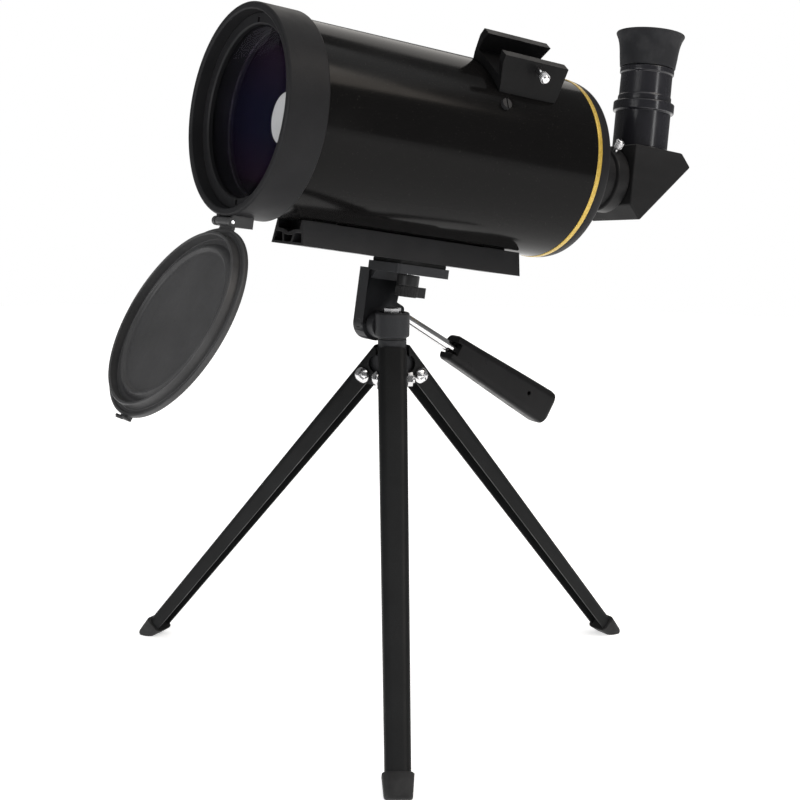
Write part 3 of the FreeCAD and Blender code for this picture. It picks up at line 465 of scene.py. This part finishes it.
def cut_with(piece, bm_cutter, matrix, operation="DIFFERENCE"):
    """Takes a shape in millimetres out of a piece, or adds it, before the piece's bevels."""
    bmesh.ops.recalc_face_normals(bm_cutter, faces=bm_cutter.faces)
    bmesh.ops.scale(bm_cutter, vec=(MM, MM, MM), verts=bm_cutter.verts)
    mesh = bpy.data.meshes.new("cutter")
    bm_cutter.to_mesh(mesh)
    bm_cutter.free()
    cutter = bpy.data.objects.new("cutter", mesh)
    bpy.context.scene.collection.objects.link(cutter)
    cutter.matrix_world = matrix
    modifier = piece.modifiers.new("cut", "BOOLEAN")
    modifier.operation = operation
    modifier.solver = "EXACT"
    modifier.object = cutter
    while piece.modifiers[0] != modifier:
        piece.modifiers.move(len(piece.modifiers) - 1, 0)
        modifier = piece.modifiers["cut"]
    bpy.context.view_layer.update()
    for other in piece.modifiers:
        other.show_viewport = other == modifier
    depsgraph = bpy.context.evaluated_depsgraph_get()
    solid = bpy.data.meshes.new_from_object(piece.evaluated_get(depsgraph))
    old = piece.data
    piece.data = solid
    solid.name = old.name
    bpy.data.meshes.remove(old)
    piece.modifiers.remove(modifier)
    for other in piece.modifiers:
        other.show_viewport = True
    bpy.data.objects.remove(cutter)


def cut_prism(piece, matrix, outline, plane, start, end, operation="DIFFERENCE"):
    bm = bmesh.new()
    extrude_into(bm, outline, plane, start, end)
    cut_with(piece, bm, matrix, operation)


def cut_box(piece, matrix, x, y, z):
    bm = bmesh.new()
    box_into(bm, x, y, z)
    cut_with(piece, bm, matrix)


def drill(piece, matrix, radius, start, end, centre=(0, 0, 0), segments=48):
    """Round hole along Z."""
    bm = bmesh.new()
    lathe_into(bm, [(0, start), (radius, start), (radius, end), (0, end)], "Z", centre, 0.0, segments)
    cut_with(piece, bm, matrix)


def repaint(material, node_names):
    """New material on nodes whose shape stays as it is."""
    for name in node_names:
        mesh = nodes[name].data
        mesh.materials.clear()
        mesh.materials.append(material)


# ---- optical tube -------------------------------------------------------------------------
lathe("tube_skin", [(53.1, 14), (53.1, 203.8), (51.55, 203.8), (51.55, 14)], TUBE, LACQUER, "scope",
      ["main_tube"], radius=0.4, segments=256)
lathe("ring_body", [(55.0, 0), (56.0, 1.0), (56.0, 23.4), (55.4, 24.0), (53.15, 24.0), (53.15, 14),
                    (51.5, 14), (51.5, 22.6), (45.2, 22.6), (45.2, 20.2), (46.7, 20.2), (46.7, 9.9),
                    (51.8, 9.9), (51.8, 0.7), (52.5, 0)], TUBE, RING_PAINT, "scope", ["front_ring"],
      radius=0.5, segments=256)
retainer = lathe("retainer_ring", [(45.4, 9.9), (45.4, 7.7), (46.2, 6.9), (51.2, 6.9), (51.75, 7.5),
                                   (51.75, 9.9)], TUBE, RETAINER_PAINT, "scope", ["lens_retainer"],
                 radius=0.2, segments=256)
for middle in (-47.8, 47.8):
    cut_box(retainer, TUBE, (-1.1, 1.1), (6, 8.3), (middle - 1.4, middle + 1.4))


def dome(radius, centre, reach, count):
    """Profile of a spherical surface from the optical axis out to a radius."""
    steps = [reach * k / count for k in range(count + 1)]
    return [(r, centre + math.sqrt(radius ** 2 - r ** 2)) for r in steps]


glass_profile = dome(102.0, -80.5, 46.6, 24) + list(reversed(dome(107.0, -76.9, 46.6, 24)))
lathe("lens_glass", glass_profile, TUBE, LENS, "scope", ["corrector_lens"], radius=0.0,
      segments=192)
spot_profile = dome(107.28, -76.9, 14.0, 10) + list(reversed(dome(107.02, -76.9, 14.0, 10)))
lathe("secondary_disc", spot_profile, TUBE, SPOT, "scope", ["secondary_spot"], radius=0.0,
      segments=96)
lathe("trim_band", [(51.6, 203.8), (53.15, 203.8), (53.4, 204.1), (53.4, 206.5), (53.15, 206.8),
                    (51.6, 206.8)], TUBE, GOLD, "scope", ["accent_ring"], radius=0.2,
      segments=256)
lathe("rear_casting", [(49.5, 196), (51.5, 196), (51.5, 206.8), (53.1, 206.8), (53.1, 209.0), (52.8, 211.0),
                       (52.3, 213.0), (51.6, 214.3), (48.6, 214.3), (48.2, 211.3), (25.4, 211.3),
                       (24.5, 212.2), (24.5, 219.0), (13.0, 219.0), (13.0, 208.0), (49.5, 208.0)],
      TUBE, RING_PAINT, "scope", ["rear_cell"], radius=0.6, segments=256)
lathe("back_flange", [(24.5, 219.0), (24.5, 222.4), (23.6, 223.0), (18.6, 223.0), (17.8, 223.8),
                      (17.8, 248.6), (19.4, 249.2), (20.0, 249.9), (20.0, 257.8), (19.4, 258.4),
                      (15.95, 258.4), (15.95, 229.0), (13.6, 229.0), (13.6, 219.0)],
      TUBE, BACK_PAINT, "scope", ["visual_back"], radius=0.4)
lathe("nose_tube", [(15.875, 231), (15.875, 262), (14.5, 262), (14.5, 231)], STAR, CHROME, "diagonal",
      ["diagonal_nose"], radius=0.3, segments=128)

# focus knob
knob = bmesh.new()
knob_outline = [(x + KNOB[0], z + KNOB[2]) for x, z in knurl_outline(8.6, 0.5, 32)]
extrude_into(knob, knob_outline, "XZ", 213.0, 224.8)
lathe_into(knob, [(0, 212.2), (7.8, 212.2), (7.8, 225.6), (7.2, 227.2), (0, 227.2)], "Y", KNOB, 0.6, 96)
lathe_into(knob, [(0, 208.3), (5.0, 208.3), (5.0, 212.6), (0, 212.6)], "Y", KNOB, 0.2, 64)
bevelled(finish_mesh("focus_wheel", knob, TUBE, KNOB_PLASTIC, "knob", ["focus_knob"]),
         0.18, 2)

# ---- finder shoe ----------------------------------------------------------------------------
base_arc = [(53.15 * math.sin(math.radians(a)), 53.15 * math.cos(math.radians(a))) for a in range(-19, 20, 2)]
shoe_outline = base_arc + [(17.2, 54.5), (14.0, 70.5), (8.6, 70.5), (13.2, 58.0), (-13.2, 58.0), (-8.6, 70.5),
                           (-14.0, 70.5), (-17.2, 54.5)]
shoe_mesh = bmesh.new()
extrude_into(shoe_mesh, shoe_outline, "XZ", 131.0, 175.0)
shoe = finish_mesh("finder_bracket", shoe_mesh, SHOE, SHOE_PAINT, "scope", ["finder_shoe"])
cut_prism(shoe, SHOE, [(130.0, 50.0), (136.0, 50.0), (130.0, 69.0)], "YZ", -20, 20)
SHOE_SCREW = SHOE @ shift(0, 155.5, 66.2) @ turn(90, "Y")
drill(shoe, SHOE_SCREW, 1.85, 5, 25)
bevelled(shoe, 0.5)


def thumbscrew(name, matrix, body, node, tip, neck, outer, shank, head):
    """Chrome thumbscrew along Z, knurled, with a turned dome."""
    bm = bmesh.new()
    lathe_into(bm, [(0, tip), (shank, tip), (shank, neck + 0.6), (0, neck + 0.6)], "Z", (0, 0, 0), 0.2, 48)
    extrude_into(bm, knurl_outline(head, 0.3, 22), "XY", neck + 0.5, outer - 1.2)
    lathe_into(bm, [(0, neck), (head - 0.4, neck), (head - 0.4, outer - 0.8), (head - 1.0, outer),
                    (0, outer)], "Z", (0, 0, 0), 0.5, 64)
    piece = finish_mesh(name, bm, matrix, CHROME, body, [node])
    return bevelled(piece, 0.1, 2)


thumbscrew("shoe_wheel", SHOE_SCREW, "shoe_screw", "shoe_thumbscrew", 10.4, 19.2, 24.9, 1.8, 2.9)
thumbscrew("back_wheel", TUBE @ shift(0, 252.4, 0) @ turn(30, "Y"), "back_screw", "back_thumbscrew",
           15.975, 21.6, 27.6, 1.45, 2.7)
HOLDER_SCREW = STAR @ shift(0, STAR_T, 41.0) @ turn(-135, "Z") @ turn(90, "X")
thumbscrew("holder_wheel", HOLDER_SCREW, "holder_screw", "holder_thumbscrew", 15.975, 18.1, 23.4, 1.45, 2.7)

# ---- dovetail bar ---------------------------------------------------------------------------
bar_outline = [(-17.7, -65.8), (17.7, -65.8), (14.1, -52.2), (12.6, -52.2), (12.0, -57.2), (6.0, -57.6),
               (0, -59.2), (-6.0, -57.6), (-12.0, -57.2), (-12.6, -52.2), (-14.1, -52.2)]
bar_mesh = bmesh.new()
extrude_into(bar_mesh, bar_outline, "XZ", 40.5, 187.0)
bar = finish_mesh("dovetail", bar_mesh, TUBE, BAR_PAINT, "scope", ["dovetail_bar"])
for chamber in ([(15.4, -64.4), (5.4, -64.4), (7.2, -59.5), (13.9, -59.0)],
                [(-15.4, -64.4), (-5.4, -64.4), (-7.2, -59.5), (-13.9, -59.0)],
                [(-3.6, -64.4), (3.6, -64.4), (5.0, -60.2), (0, -61.0), (-5.0, -60.2)]):
    for span in ((39.5, 66.5), (80.0, 115.0), (128.0, 188.0)):
        cut_prism(bar, TUBE, rounded_outline(chamber, 0.8), "XZ", *span)
for t, radius in ((121.5, 3.225), (75.0, 3.225), (55.5, 4.0), (170.5, 4.0)):
    drill(bar, TUBE, radius, -70, -61.3, (0, t, 0))
bevelled(bar, 0.4, 2)

# ---- star diagonal --------------------------------------------------------------------------
star_mesh = bmesh.new()
extrude_into(star_mesh, [(258.8, 21.5), (297.3, 21.5), (305.3, 13.8), (267.8, -23.7), (258.8, -15.2)], "YZ",
             -22.0, 22.0)
bevelled(finish_mesh("star_case", star_mesh, STAR, STAR_PLASTIC, "diagonal", ["diagonal_housing"]), 1.1, 4)
AT_EYE = (0, STAR_T, 0)
lathe("holder_sleeve", [(14.6, 18.5), (17.0, 18.5), (17.0, 22.4), (16.7, 22.7), (17.0, 23.0), (17.0, 45.2),
                        (18.3, 45.2), (18.8, 45.7), (18.8, 50.9), (18.2, 51.5), (15.95, 51.5), (15.95, 25.0),
                        (14.6, 25.0)], STAR, EYE_PAINT, "diagonal", ["eyepiece_holder"],
      axis="Z", centre=AT_EYE, radius=0.35)
lathe("eyepiece_chrome", [(14.4, 27.0), (15.875, 27.0), (15.875, 38.5), (15.4, 39.0), (15.4, 43.0),
                          (15.875, 43.5), (15.875, 51.7), (14.4, 51.7)], STAR, CHROME, "eyepiece",
      ["eyepiece_barrel"], axis="Z", centre=AT_EYE, radius=0.2, segments=128)
lathe("eyepiece_case", [(14.4, 51.7), (16.5, 51.7), (16.5, 55.0), (16.0, 55.6), (15.9, 68.8),
                        (16.7, 69.4), (16.7, 72.4), (15.6, 73.0), (15.6, 84.0), (13.0, 86.4), (10.0, 86.4),
                        (10.0, 82.0), (9.0, 81.0), (9.0, 60.0), (14.4, 57.0)], STAR, EYE_PAINT, "eyepiece",
      ["eyepiece_body"], axis="Z", centre=AT_EYE, radius=0.35)
lathe("soft_eyecup", [(15.6, 73.1), (17.1, 73.1), (17.4, 76.0), (17.9, 80.0), (18.2, 83.2), (18.6, 86.0),
                      (19.1, 88.4), (19.8, 90.6), (20.7, 92.5), (21.2, 93.5), (20.9, 94.4), (20.1, 94.2),
                      (18.4, 89.6), (16.4, 84.6), (15.6, 84.0)], STAR, CUP_RUBBER, "eyepiece", ["eyecup"],
      axis="Z", centre=AT_EYE, radius=0.7)

# ---- dust cap -------------------------------------------------------------------------------
lathe("cap_dish", [(0, -3.4), (54.4, -3.4), (55.3, -3.1), (55.7, -2.4), (55.7, -0.6), (55.3, -0.2),
                   (54.0, -0.2), (53.6, -0.9), (51.7, -1.2), (51.1, 3.6), (50.7, 4.0), (49.8, 4.0),
                   (49.4, 3.6), (49.2, -1.2), (46.2, -1.2), (43.8, 1.1), (43.0, 1.5), (42.3, 1.3),
                   (41.4, -0.2), (40.4, -0.6), (0, -0.6)],
      CAP, CAP_PLASTIC, "cap", ["dust_cap"], radius=0.5, segments=256)
arm_mesh = bmesh.new()
extrude_into(arm_mesh, [(-3.2, -50.0), (-3.2, -56.6), (-0.9, -60.8), (1.5, -60.9), (1.5, -57.0),
                        (-0.4, -56.6), (-0.4, -53.6), (-2.6, -50.0)], "YZ", -6.6, 6.6)
extrude_into(arm_mesh, arc(2.3, 0, 348, 29, (HINGE[1], HINGE[2])), "YZ", -6.6, 6.6)
bevelled(finish_mesh("cap_arm", arm_mesh, CAP, CAP_PLASTIC, "cap", []), 0.3, 2)
latch_mesh = bmesh.new()
box_into(latch_mesh, (-4.8, 4.8), (-3.4, 2.0), (56.35, 57.7))
box_into(latch_mesh, (-4.8, 4.8), (-3.4, -0.6), (55.0, 57.2))
box_into(latch_mesh, (-3.8, 3.8), (0.8, 2.0), (56.35, 58.4))
bevelled(finish_mesh("cap_tab", latch_mesh, CAP, CAP_PLASTIC, "cap", ["cap_latch"]), 0.3, 2)

# ---- handle ---------------------------------------------------------------------------------
lathe("handle_bar", [(0, -9.2), (3.0, -9.2), (3.0, 0.3), (3.35, 50.4), (2.6, 50.6), (2.6, 78.4), (0, 78.4)],
      HANDLE, CHROME, "handle", ["handle_rod"], axis="Z", radius=0.2, segments=96)


def grip_section(u, half_x, half_y, radius):
    """Rounded rectangle across the grip, u along the handle."""
    corners = ((1, 1, 0), (-1, 1, 90), (-1, -1, 180), (1, -1, 270))
    points = []
    for sx, sy, start in corners:
        cx, cy = sx * (half_x - radius), sy * (half_y - radius)
        points += [(x, y, u) for x, y in arc(radius, start, start + 90, 6, (cx, cy))]
    return points


def loft_into(bm, sections):
    """Adds a solid through closed sections of equal point counts."""
    rows = [[bm.verts.new(p) for p in s] for s in sections]
    for a, b in zip(rows, rows[1:]):
        for i in range(len(a)):
            n = (i + 1) % len(a)
            bm.faces.new((a[i], a[n], b[n], b[i]))
    bm.faces.new(list(reversed(rows[0])))
    bm.faces.new(rows[-1])


grip_mesh = bmesh.new()
stations = [(42.4, 5.7, 7.1, 3.2), (42.9, 6.4, 7.8, 3.8), (43.8, 6.8, 8.2, 4.0), (60, 7.0, 8.7, 4.3),
            (80, 7.4, 9.5, 4.5), (105, 7.9, 10.4, 4.8), (124.0, 8.3, 10.9, 5.0), (126.6, 7.9, 10.5, 4.8),
            (128.1, 6.5, 9.0, 4.2)]
loft_into(grip_mesh, [grip_section(u, hx, hy, r) for u, hx, hy, r in stations])
grip = finish_mesh("grip_body", grip_mesh, HANDLE, GRIP_PLASTIC, "handle", ["handle_grip"])
cut_box(grip, HANDLE, (-12, 12), (-3.7, 3.7), (40.0, 46.2))
drill(grip, HANDLE @ shift(0, -1.0, 106.0) @ turn(90, "Y"), 1.4, -12, 12, segments=32)
bevelled(grip, 0.5, 3, 35)

# ---- tilt bracket ---------------------------------------------------------------------------
cheek = arc(9.7, 180, 360, 30) + [(9.4, 2.2), (11.2, 8.5), (14.2, 31.5), (-9.7, 31.5)]
bracket_mesh = bmesh.new()
extrude_into(bracket_mesh, cheek, "YZ", -23.0, -12.6)
bracket = finish_mesh("bracket", bracket_mesh, HEAD, HEAD_PAINT, "scope", ["tilt_bracket"])
plate_outline = rounded_outline([(-16.5, -9.6), (16.5, -9.6), (16.5, 26.0), (-16.5, 26.0)], 2.8, 6)
cut_prism(bracket, HEAD, plate_outline, "XY", 30.5, 35.8, "UNION")
cut_prism(bracket, HEAD, [(-12.8, 30.7), (-7.6, 30.7), (-12.8, 25.5)], "XZ", -8.0, 12.0, "UNION")
boss = bmesh.new()
lathe_into(boss, [(0, -12.2), (5.2, -12.2), (5.2, 0), (0, 0)], "Z", (0, 0, 0), 0.4, 64)
cut_with(bracket, boss, HANDLE, "UNION")
drill(bracket, HANDLE, 3.05, -9.8, 1, segments=64)
cut_box(bracket, HEAD, (-24.0, -15.2), (-4.5, 8.5), (14.5, 27.0))
for radius, x0, x1 in ((6.7, -24.0, -20.0), (4.08, -24.0, -12.0)):
    drill(bracket, HEAD @ turn(90, "Y"), radius, x0, x1, segments=64)
drill(bracket, HEAD, 3.3, 29.0, 37.0, (0, CAMERA_SCREW_Y, 0))
drill(bracket, CLAMP, 3.0, 8.3, 12)
bevelled(bracket, 0.7, 3, 30)

clamp = bmesh.new()
lathe_into(clamp, [(0, 8.3), (2.7, 8.3), (2.7, 9.3), (0, 9.3)], "Z", (0, 0, 0), 0.25, 48)
clamp_piece = finish_mesh("clamp_head", clamp, CLAMP, BAR_PAINT, "scope", ["friction_screw"])
cut_box(clamp_piece, CLAMP, (-3, 3), (-0.45, 0.45), (8.8, 10))
bevelled(clamp_piece, 0.1, 2)

pad_mesh = bmesh.new()
pad_outline = rounded_outline([(-14.8, -7.6), (14.8, -7.6), (14.8, 24.4), (-14.8, 24.4)], 2.0, 5)
extrude_into(pad_mesh, pad_outline, "XY", 35.8, 38.0)
bevelled(finish_mesh("rubber_pad", pad_mesh, HEAD, PAD_RUBBER, "scope", ["platform_pad"]),
         0.3, 2)

# ---- camera screw ---------------------------------------------------------------------------
lathe("camera_stud", [(0, 24.25), (3.175, 24.25), (3.175, 42.4), (2.6, 43.0), (0, 43.0)], SCREW, CHROME,
      "camera_screw", ["screw_stud"], axis="Z", radius=0.2, segments=64)
wheel = bmesh.new()
extrude_into(wheel, knurl_outline(6.6, 0.45, 30), "XY", 17.9, 23.6)
lathe_into(wheel, [(0, 17.55), (6.0, 17.55), (6.3, 23.85), (0, 23.85)], "Z", (0, 0, 0), 0.4, 96)
lathe_into(wheel, [(3.2, 23.85), (6.45, 23.85), (6.45, 30.0), (5.9, 30.25), (3.2, 30.25)], "Z", (0, 0, 0),
           0.3, 96)
tab = rounded_outline([(-2.2, 2), (2.2, 2), (2.2, 12.2), (-2.2, 12.2)], 1.3, 5)
extrude_into(wheel, tab, "XY", 17.85, 23.85)
bevelled(finish_mesh("screw_wheel", wheel, SCREW, KNOB_PLASTIC, "camera_screw", ["screw_knob"]), 0.2, 2)

# ---- pan head -------------------------------------------------------------------------------
pan_mesh = bmesh.new()
lathe_into(pan_mesh, [(3.08, 202.25), (9.2, 202.25), (9.8, 202.9), (9.8, 215.6), (9.0, 216.4), (7.4, 216.4),
                      (7.4, 214.8), (3.08, 214.8)], "Z", (0, 0, 0), 0.4, 128)
pan = finish_mesh("pan_drum", pan_mesh, WORLD, HEAD_PAINT, "pan", ["pan_head"])
lug = bmesh.new()
lathe_into(lug, [(0, -12.0), (7.5, -12.0), (7.9, -11.6), (7.9, -5.0), (0, -5.0)], "Z", (0, 0, 0), 0.2, 96)
cut_with(pan, lug, AXLE, "UNION")
drill(pan, WORLD, 8.6, 190, 202.25, segments=96)
bevelled(pan, 0.4, 2, 40)
bolt_mesh = bmesh.new()
lathe_into(bolt_mesh, [(0, 185.4), (3.0, 185.4), (3.0, 214.9), (5.2, 214.9), (5.2, 215.8), (0, 215.8)], "Z",
           (0, 0, 0), 0.1, 64)
extrude_into(bolt_mesh, hexagon(4.97, 15), "XY", 215.7, 218.7)
bevelled(finish_mesh("pan_bolt_head", bolt_mesh, WORLD, STEEL, "tripod", ["pan_bolt"]),
         0.35, 2)
axle_mesh = bmesh.new()
lathe_into(axle_mesh, [(0, -23.8), (6.1, -23.8), (6.5, -23.4), (6.5, -20.1), (4.0, -20.0), (4.0, -12.0),
                       (3.0, -12.0), (3.0, -4.6), (0, -4.6)], "Z", (0, 0, 0), 0.15, 96)
axle = finish_mesh("axle_screw", axle_mesh, AXLE, CHROME, "pan", ["tilt_axle"])
cut_prism(axle, AXLE, hexagon(2.31), "XY", -26, -21.4)
bevelled(axle, 0.15, 2)

# ---- tripod ---------------------------------------------------------------------------------
hub_mesh = bmesh.new()
lathe_into(hub_mesh, [(0, 171.6), (7.6, 171.6), (8.2, 172.2), (8.2, 200.9), (7.7, 201.4), (0, 201.4)], "Z",
           (0, 0, 0), 0.3, 128)
hub = finish_mesh("hub_body", hub_mesh, WORLD, HEAD_PAINT, "tripod", ["hub"])
EAR_TIP = arc(4.9, -75, 40, 10, (LEG_PIVOT_R, LEG_PIVOT_Z))
EAR_OUTLINE = [(0.5, 173.2)] + EAR_TIP + [(8.0, 192.0), (0.5, 192.0)]
for side, azimuth in LEGS:
    cut_prism(hub, turn(azimuth, "Z"), EAR_OUTLINE, "XZ", -5.4, 5.4, "UNION")
bevelled(hub, 0.5, 2, 35)

ROUND_COUNT = 5                         # segments round a corner of a leg or foot section
CHANNEL_WALL = 1.5
# inner flange edges, outer face, width and outside corner radius of the leg channel
CHANNEL_AT_FOOT = (3.9, 4.6, 13.0, 4.2)
CHANNEL_AT_TOP = (4.5, 7.2, 16.5, 4.3)


def channel_section(z):
    """Closed outline of the folded channel at one height of the leg."""
    share = (z - LEG_END) / (LEG_TOP - LEG_END)
    depth, outer, width, big = (a + (b - a) * share for a, b in zip(CHANNEL_AT_FOOT, CHANNEL_AT_TOP))
    inner, half = -depth, width / 2
    wall = CHANNEL_WALL
    small = big - wall
    points = [(inner, half)]
    points += arc(big, 90, 0, ROUND_COUNT, (outer - big, half - big))
    points += arc(big, 0, -90, ROUND_COUNT, (outer - big, -half + big))
    points += [(inner, -half), (inner, -half + wall)]
    points += arc(small, -90, 0, ROUND_COUNT, (outer - wall - small, -half + wall + small))
    points += arc(small, 0, 90, ROUND_COUNT, (outer - wall - small, half - wall - small))
    points += [(inner, half - wall)]
    return [(x, y, z) for x, y in points]


def foot_section(z, x0, x1, half, radius):
    """Rounded rectangle across the foot, from x0 to x1 and half as wide to each side."""
    corners = ((x1, 1, 1, 0), (x0, -1, 1, 90), (x0, -1, -1, 180), (x1, 1, -1, 270))
    points = []
    for x, sx, sy, start in corners:
        centre = (x - sx * radius, sy * (half - radius))
        points += [(px, py, z) for px, py in arc(radius, start, start + 90, ROUND_COUNT, centre)]
    return points


# height along the leg, inner and outer face, half width and corner radius
FOOT_STATIONS = ((-241.0, -1.1, 4.0, 5.8, 2.0), (-240.4, -2.0, 4.9, 6.7, 2.6), (-239.2, -2.7, 5.3, 7.1, 2.8),
                 (-229.3, -5.7, 5.8, 7.9, 3.2), (-227.9, -6.1, 5.9, 8.0, 3.2), (-227.5, -5.7, 5.5, 7.5, 2.9))

# slot at the top of a leg that lets it swing past the hub
BITE_OUTLINE = [(-14, 22), (-14, 11.6)] + arc(5.5, 180, 360, 16, (-2.4, 11.6)) + [(3.1, 12.6), (-1.9, 17.2),
                                                                                  (-1.9, 22)]


for side, azimuth in LEGS:
    place = leg_frame(azimuth)
    body = side + "_leg"
    leg_mesh = bmesh.new()
    loft_into(leg_mesh, [channel_section(z) for z in (LEG_END, -150.0, -70.0, LEG_TOP)])
    leg = finish_mesh("channel_" + side, leg_mesh, place, LEG_PAINT, body, ["leg_" + side])
    cut_prism(leg, place, BITE_OUTLINE, "XZ", -12, 12)
    drill(leg, WORLD, 8.55, 150, 215, segments=96)
    cut_box(leg, turn(azimuth, "Z"), (-20, 6.3), (-20, 20), (186, 215))
    bevelled(leg, 0.3, 2, 35)

    foot_mesh = bmesh.new()
    loft_into(foot_mesh, [foot_section(*station) for station in FOOT_STATIONS])
    foot = finish_mesh("rubber_foot_" + side, foot_mesh, place, FOOT_RUBBER, body, ["foot_" + side])
    cut_box(foot, WORLD, (-400, 400), (-400, 400), (-60, 0))
    bevelled(foot, 0.5, 3, 40)


def pivot_frame(side, azimuth):
    """Frame of a leg's pivot screw, its head towards -Y; the left one is fitted the other way round."""
    return leg_frame(azimuth) @ turn(180 if side == "left" else 0, "Z")


def gather(whole, part, matrix):
    """Moves one shape in millimetres into a mesh that holds several."""
    part.transform(Matrix.Diagonal((1 / MM, 1 / MM, 1 / MM, 1)) @ matrix @ Matrix.Diagonal((MM, MM, MM, 1)))
    temporary = bpy.data.meshes.new("part")
    part.to_mesh(temporary)
    part.free()
    whole.from_mesh(temporary)
    bpy.data.meshes.remove(temporary)


HEAD_RADIUS = 5.2
head_profile = [(HEAD_RADIUS * math.sin(math.radians(a)), -6.55 - HEAD_RADIUS * math.cos(math.radians(a)))
                for a in range(0, 61, 6)]
head_profile += [(4.5, -8.35), (2.0, -8.35), (2.0, 12.55), (0, 12.55)]
screws_mesh = bmesh.new()
nuts_mesh = bmesh.new()
for side, azimuth in LEGS:
    screw = bmesh.new()
    lathe_into(screw, head_profile, "Y", (0, 0, 0), 0.15, 64)
    gather(screws_mesh, screw, pivot_frame(side, azimuth))
    nut = bmesh.new()
    extrude_into(nut, hexagon(4.04), "XZ", 8.35, 11.55)
    gather(nuts_mesh, nut, pivot_frame(side, azimuth))
pivots = finish_mesh("pivot_heads", screws_mesh, WORLD, CHROME, "tripod", ["pivot_screws"])
for side, azimuth in LEGS:
    for angle in (0, 90):
        cut_box(pivots, pivot_frame(side, azimuth) @ turn(angle, "Y"), (-2.6, 2.6), (-13, -10.2), (-0.5, 0.5))
bevelled(pivots, 0.12, 2)
bevelled(finish_mesh("pivot_nut_set", nuts_mesh, WORLD, CHROME, "tripod", ["pivot_nuts"]),
         0.35, 2)

# ---- pieces kept from the frame ---------------------------------------------------------------
repaint(INNER_BLACK, ["secondary_baffle", "primary_baffle"])
repaint(MIRROR, ["primary_mirror", "diagonal_mirror"])
repaint(ALUMINIUM, ["mirror_carrier"])
repaint(BRASS, ["focus_screw"])
repaint(BAR_PAINT, ["saddle_blocks", "tube_screw"])
repaint(CHROME, ["saddle_screws", "shoe_screws", "hinge_pin"])
repaint(KNOB_PLASTIC, ["pan_washer", "tilt_washer"])
repaint(CAP_PLASTIC, ["cap_hinge"])
repaint(EYE_GLASS, ["eyepiece_lenses"])


# ---- studio -----------------------------------------------------------------------------------
def studio_floor():
    """Pale round floor, faintly lit from within like a light table."""
    bm = bmesh.new()
    bmesh.ops.create_circle(bm, cap_ends=True, radius=2.2, segments=96)
    mesh = bpy.data.meshes.new("studio_floor")
    bm.to_mesh(mesh)
    bm.free()
    floor = bpy.data.objects.new("studio_floor", mesh)
    bpy.context.scene.collection.objects.link(floor)
    recipe = Recipe("studio_floor")
    recipe.colour(recipe.blend(recipe.noise(3, 2), (0.93, 0.93, 0.93), (0.95, 0.95, 0.95)))
    recipe.set(Roughness=0.9, Specular_IOR_Level=0.1, Emission_Color=(1, 1, 1, 1), Emission_Strength=0.60)
    mesh.materials.append(recipe.material)


studio_floor()

world = bpy.data.worlds.new("studio")
bpy.context.scene.world = world
world.use_nodes = True
background = world.node_tree.nodes["Background"]
background.inputs["Color"].default_value = (1.0, 1.0, 1.0, 1)
# the camera sees white; everything else is lit by much less
seen = world.node_tree.nodes.new("ShaderNodeLightPath")
level = world.node_tree.nodes.new("ShaderNodeMapRange")
level.inputs["To Min"].default_value = 0.16
level.inputs["To Max"].default_value = 1.0
world.node_tree.links.new(seen.outputs["Is Camera Ray"], level.inputs["Value"])
world.node_tree.links.new(level.outputs["Result"], background.inputs["Strength"])

sky = bpy.data.lights.new("overhead", "SUN")
sky.energy = 1.15
sky.angle = math.radians(75)
sky_lamp = bpy.data.objects.new("overhead", sky)
sky_lamp.rotation_euler = Vector((-0.25, -0.1, -1.0)).to_track_quat("-Z", "Y").to_euler()
bpy.context.scene.collection.objects.link(sky_lamp)


def softbox(name, position, target, width, height, power, colour=(1, 1, 1)):
    """Rectangular light aimed at a point."""
    data = bpy.data.lights.new(name, "AREA")
    data.shape = "RECTANGLE"
    data.size = width
    data.size_y = height
    data.energy = power
    data.color = colour
    lamp = bpy.data.objects.new(name, data)
    lamp.location = position
    direction = Vector(target) - Vector(position)
    lamp.rotation_euler = direction.to_track_quat("-Z", "Y").to_euler()
    bpy.context.scene.collection.objects.link(lamp)


softbox("key", (0.9, 0.5, 1.3), (0, 0, 0.3), 0.9, 0.5, 6, (1.0, 0.90, 0.80))
softbox("front", (0.35, -1.6, 0.55), (0, 0, 0.3), 0.8, 0.6, 11)
softbox("rim", (-1.25, 0.85, 1.35), (0, 0, 0.35), 1.6, 1.0, 5, (1.0, 0.96, 0.91))
softbox("strip", (1.3, 0.45, 0.55), (0, 0.18, 0.33), 0.14, 0.9, 2.5)

# the camera that took the photo, from its fit to the picture
CAMERA_PLACE = (0.7309, -0.4727, 0.3071)
CAMERA_FORWARD = Vector((-0.82578, 0.54075, -0.16025)).normalized()
CAMERA_UP = Vector((-0.14216, 0.07541, 0.98697))
camera_data = bpy.data.cameras.new("photo_camera")
camera_data.lens = 69.2
camera_data.sensor_width = 36.0
camera = bpy.data.objects.new("photo_camera", camera_data)
right = CAMERA_FORWARD.cross(CAMERA_UP).normalized()
up = right.cross(CAMERA_FORWARD).normalized()
rotation = Matrix((right, up, -CAMERA_FORWARD)).transposed().to_4x4()
camera.matrix_world = Matrix.Translation(CAMERA_PLACE) @ rotation
bpy.context.scene.collection.objects.link(camera)
bpy.context.scene.camera = camera
bpy.context.scene.view_settings.view_transform = "Standard"
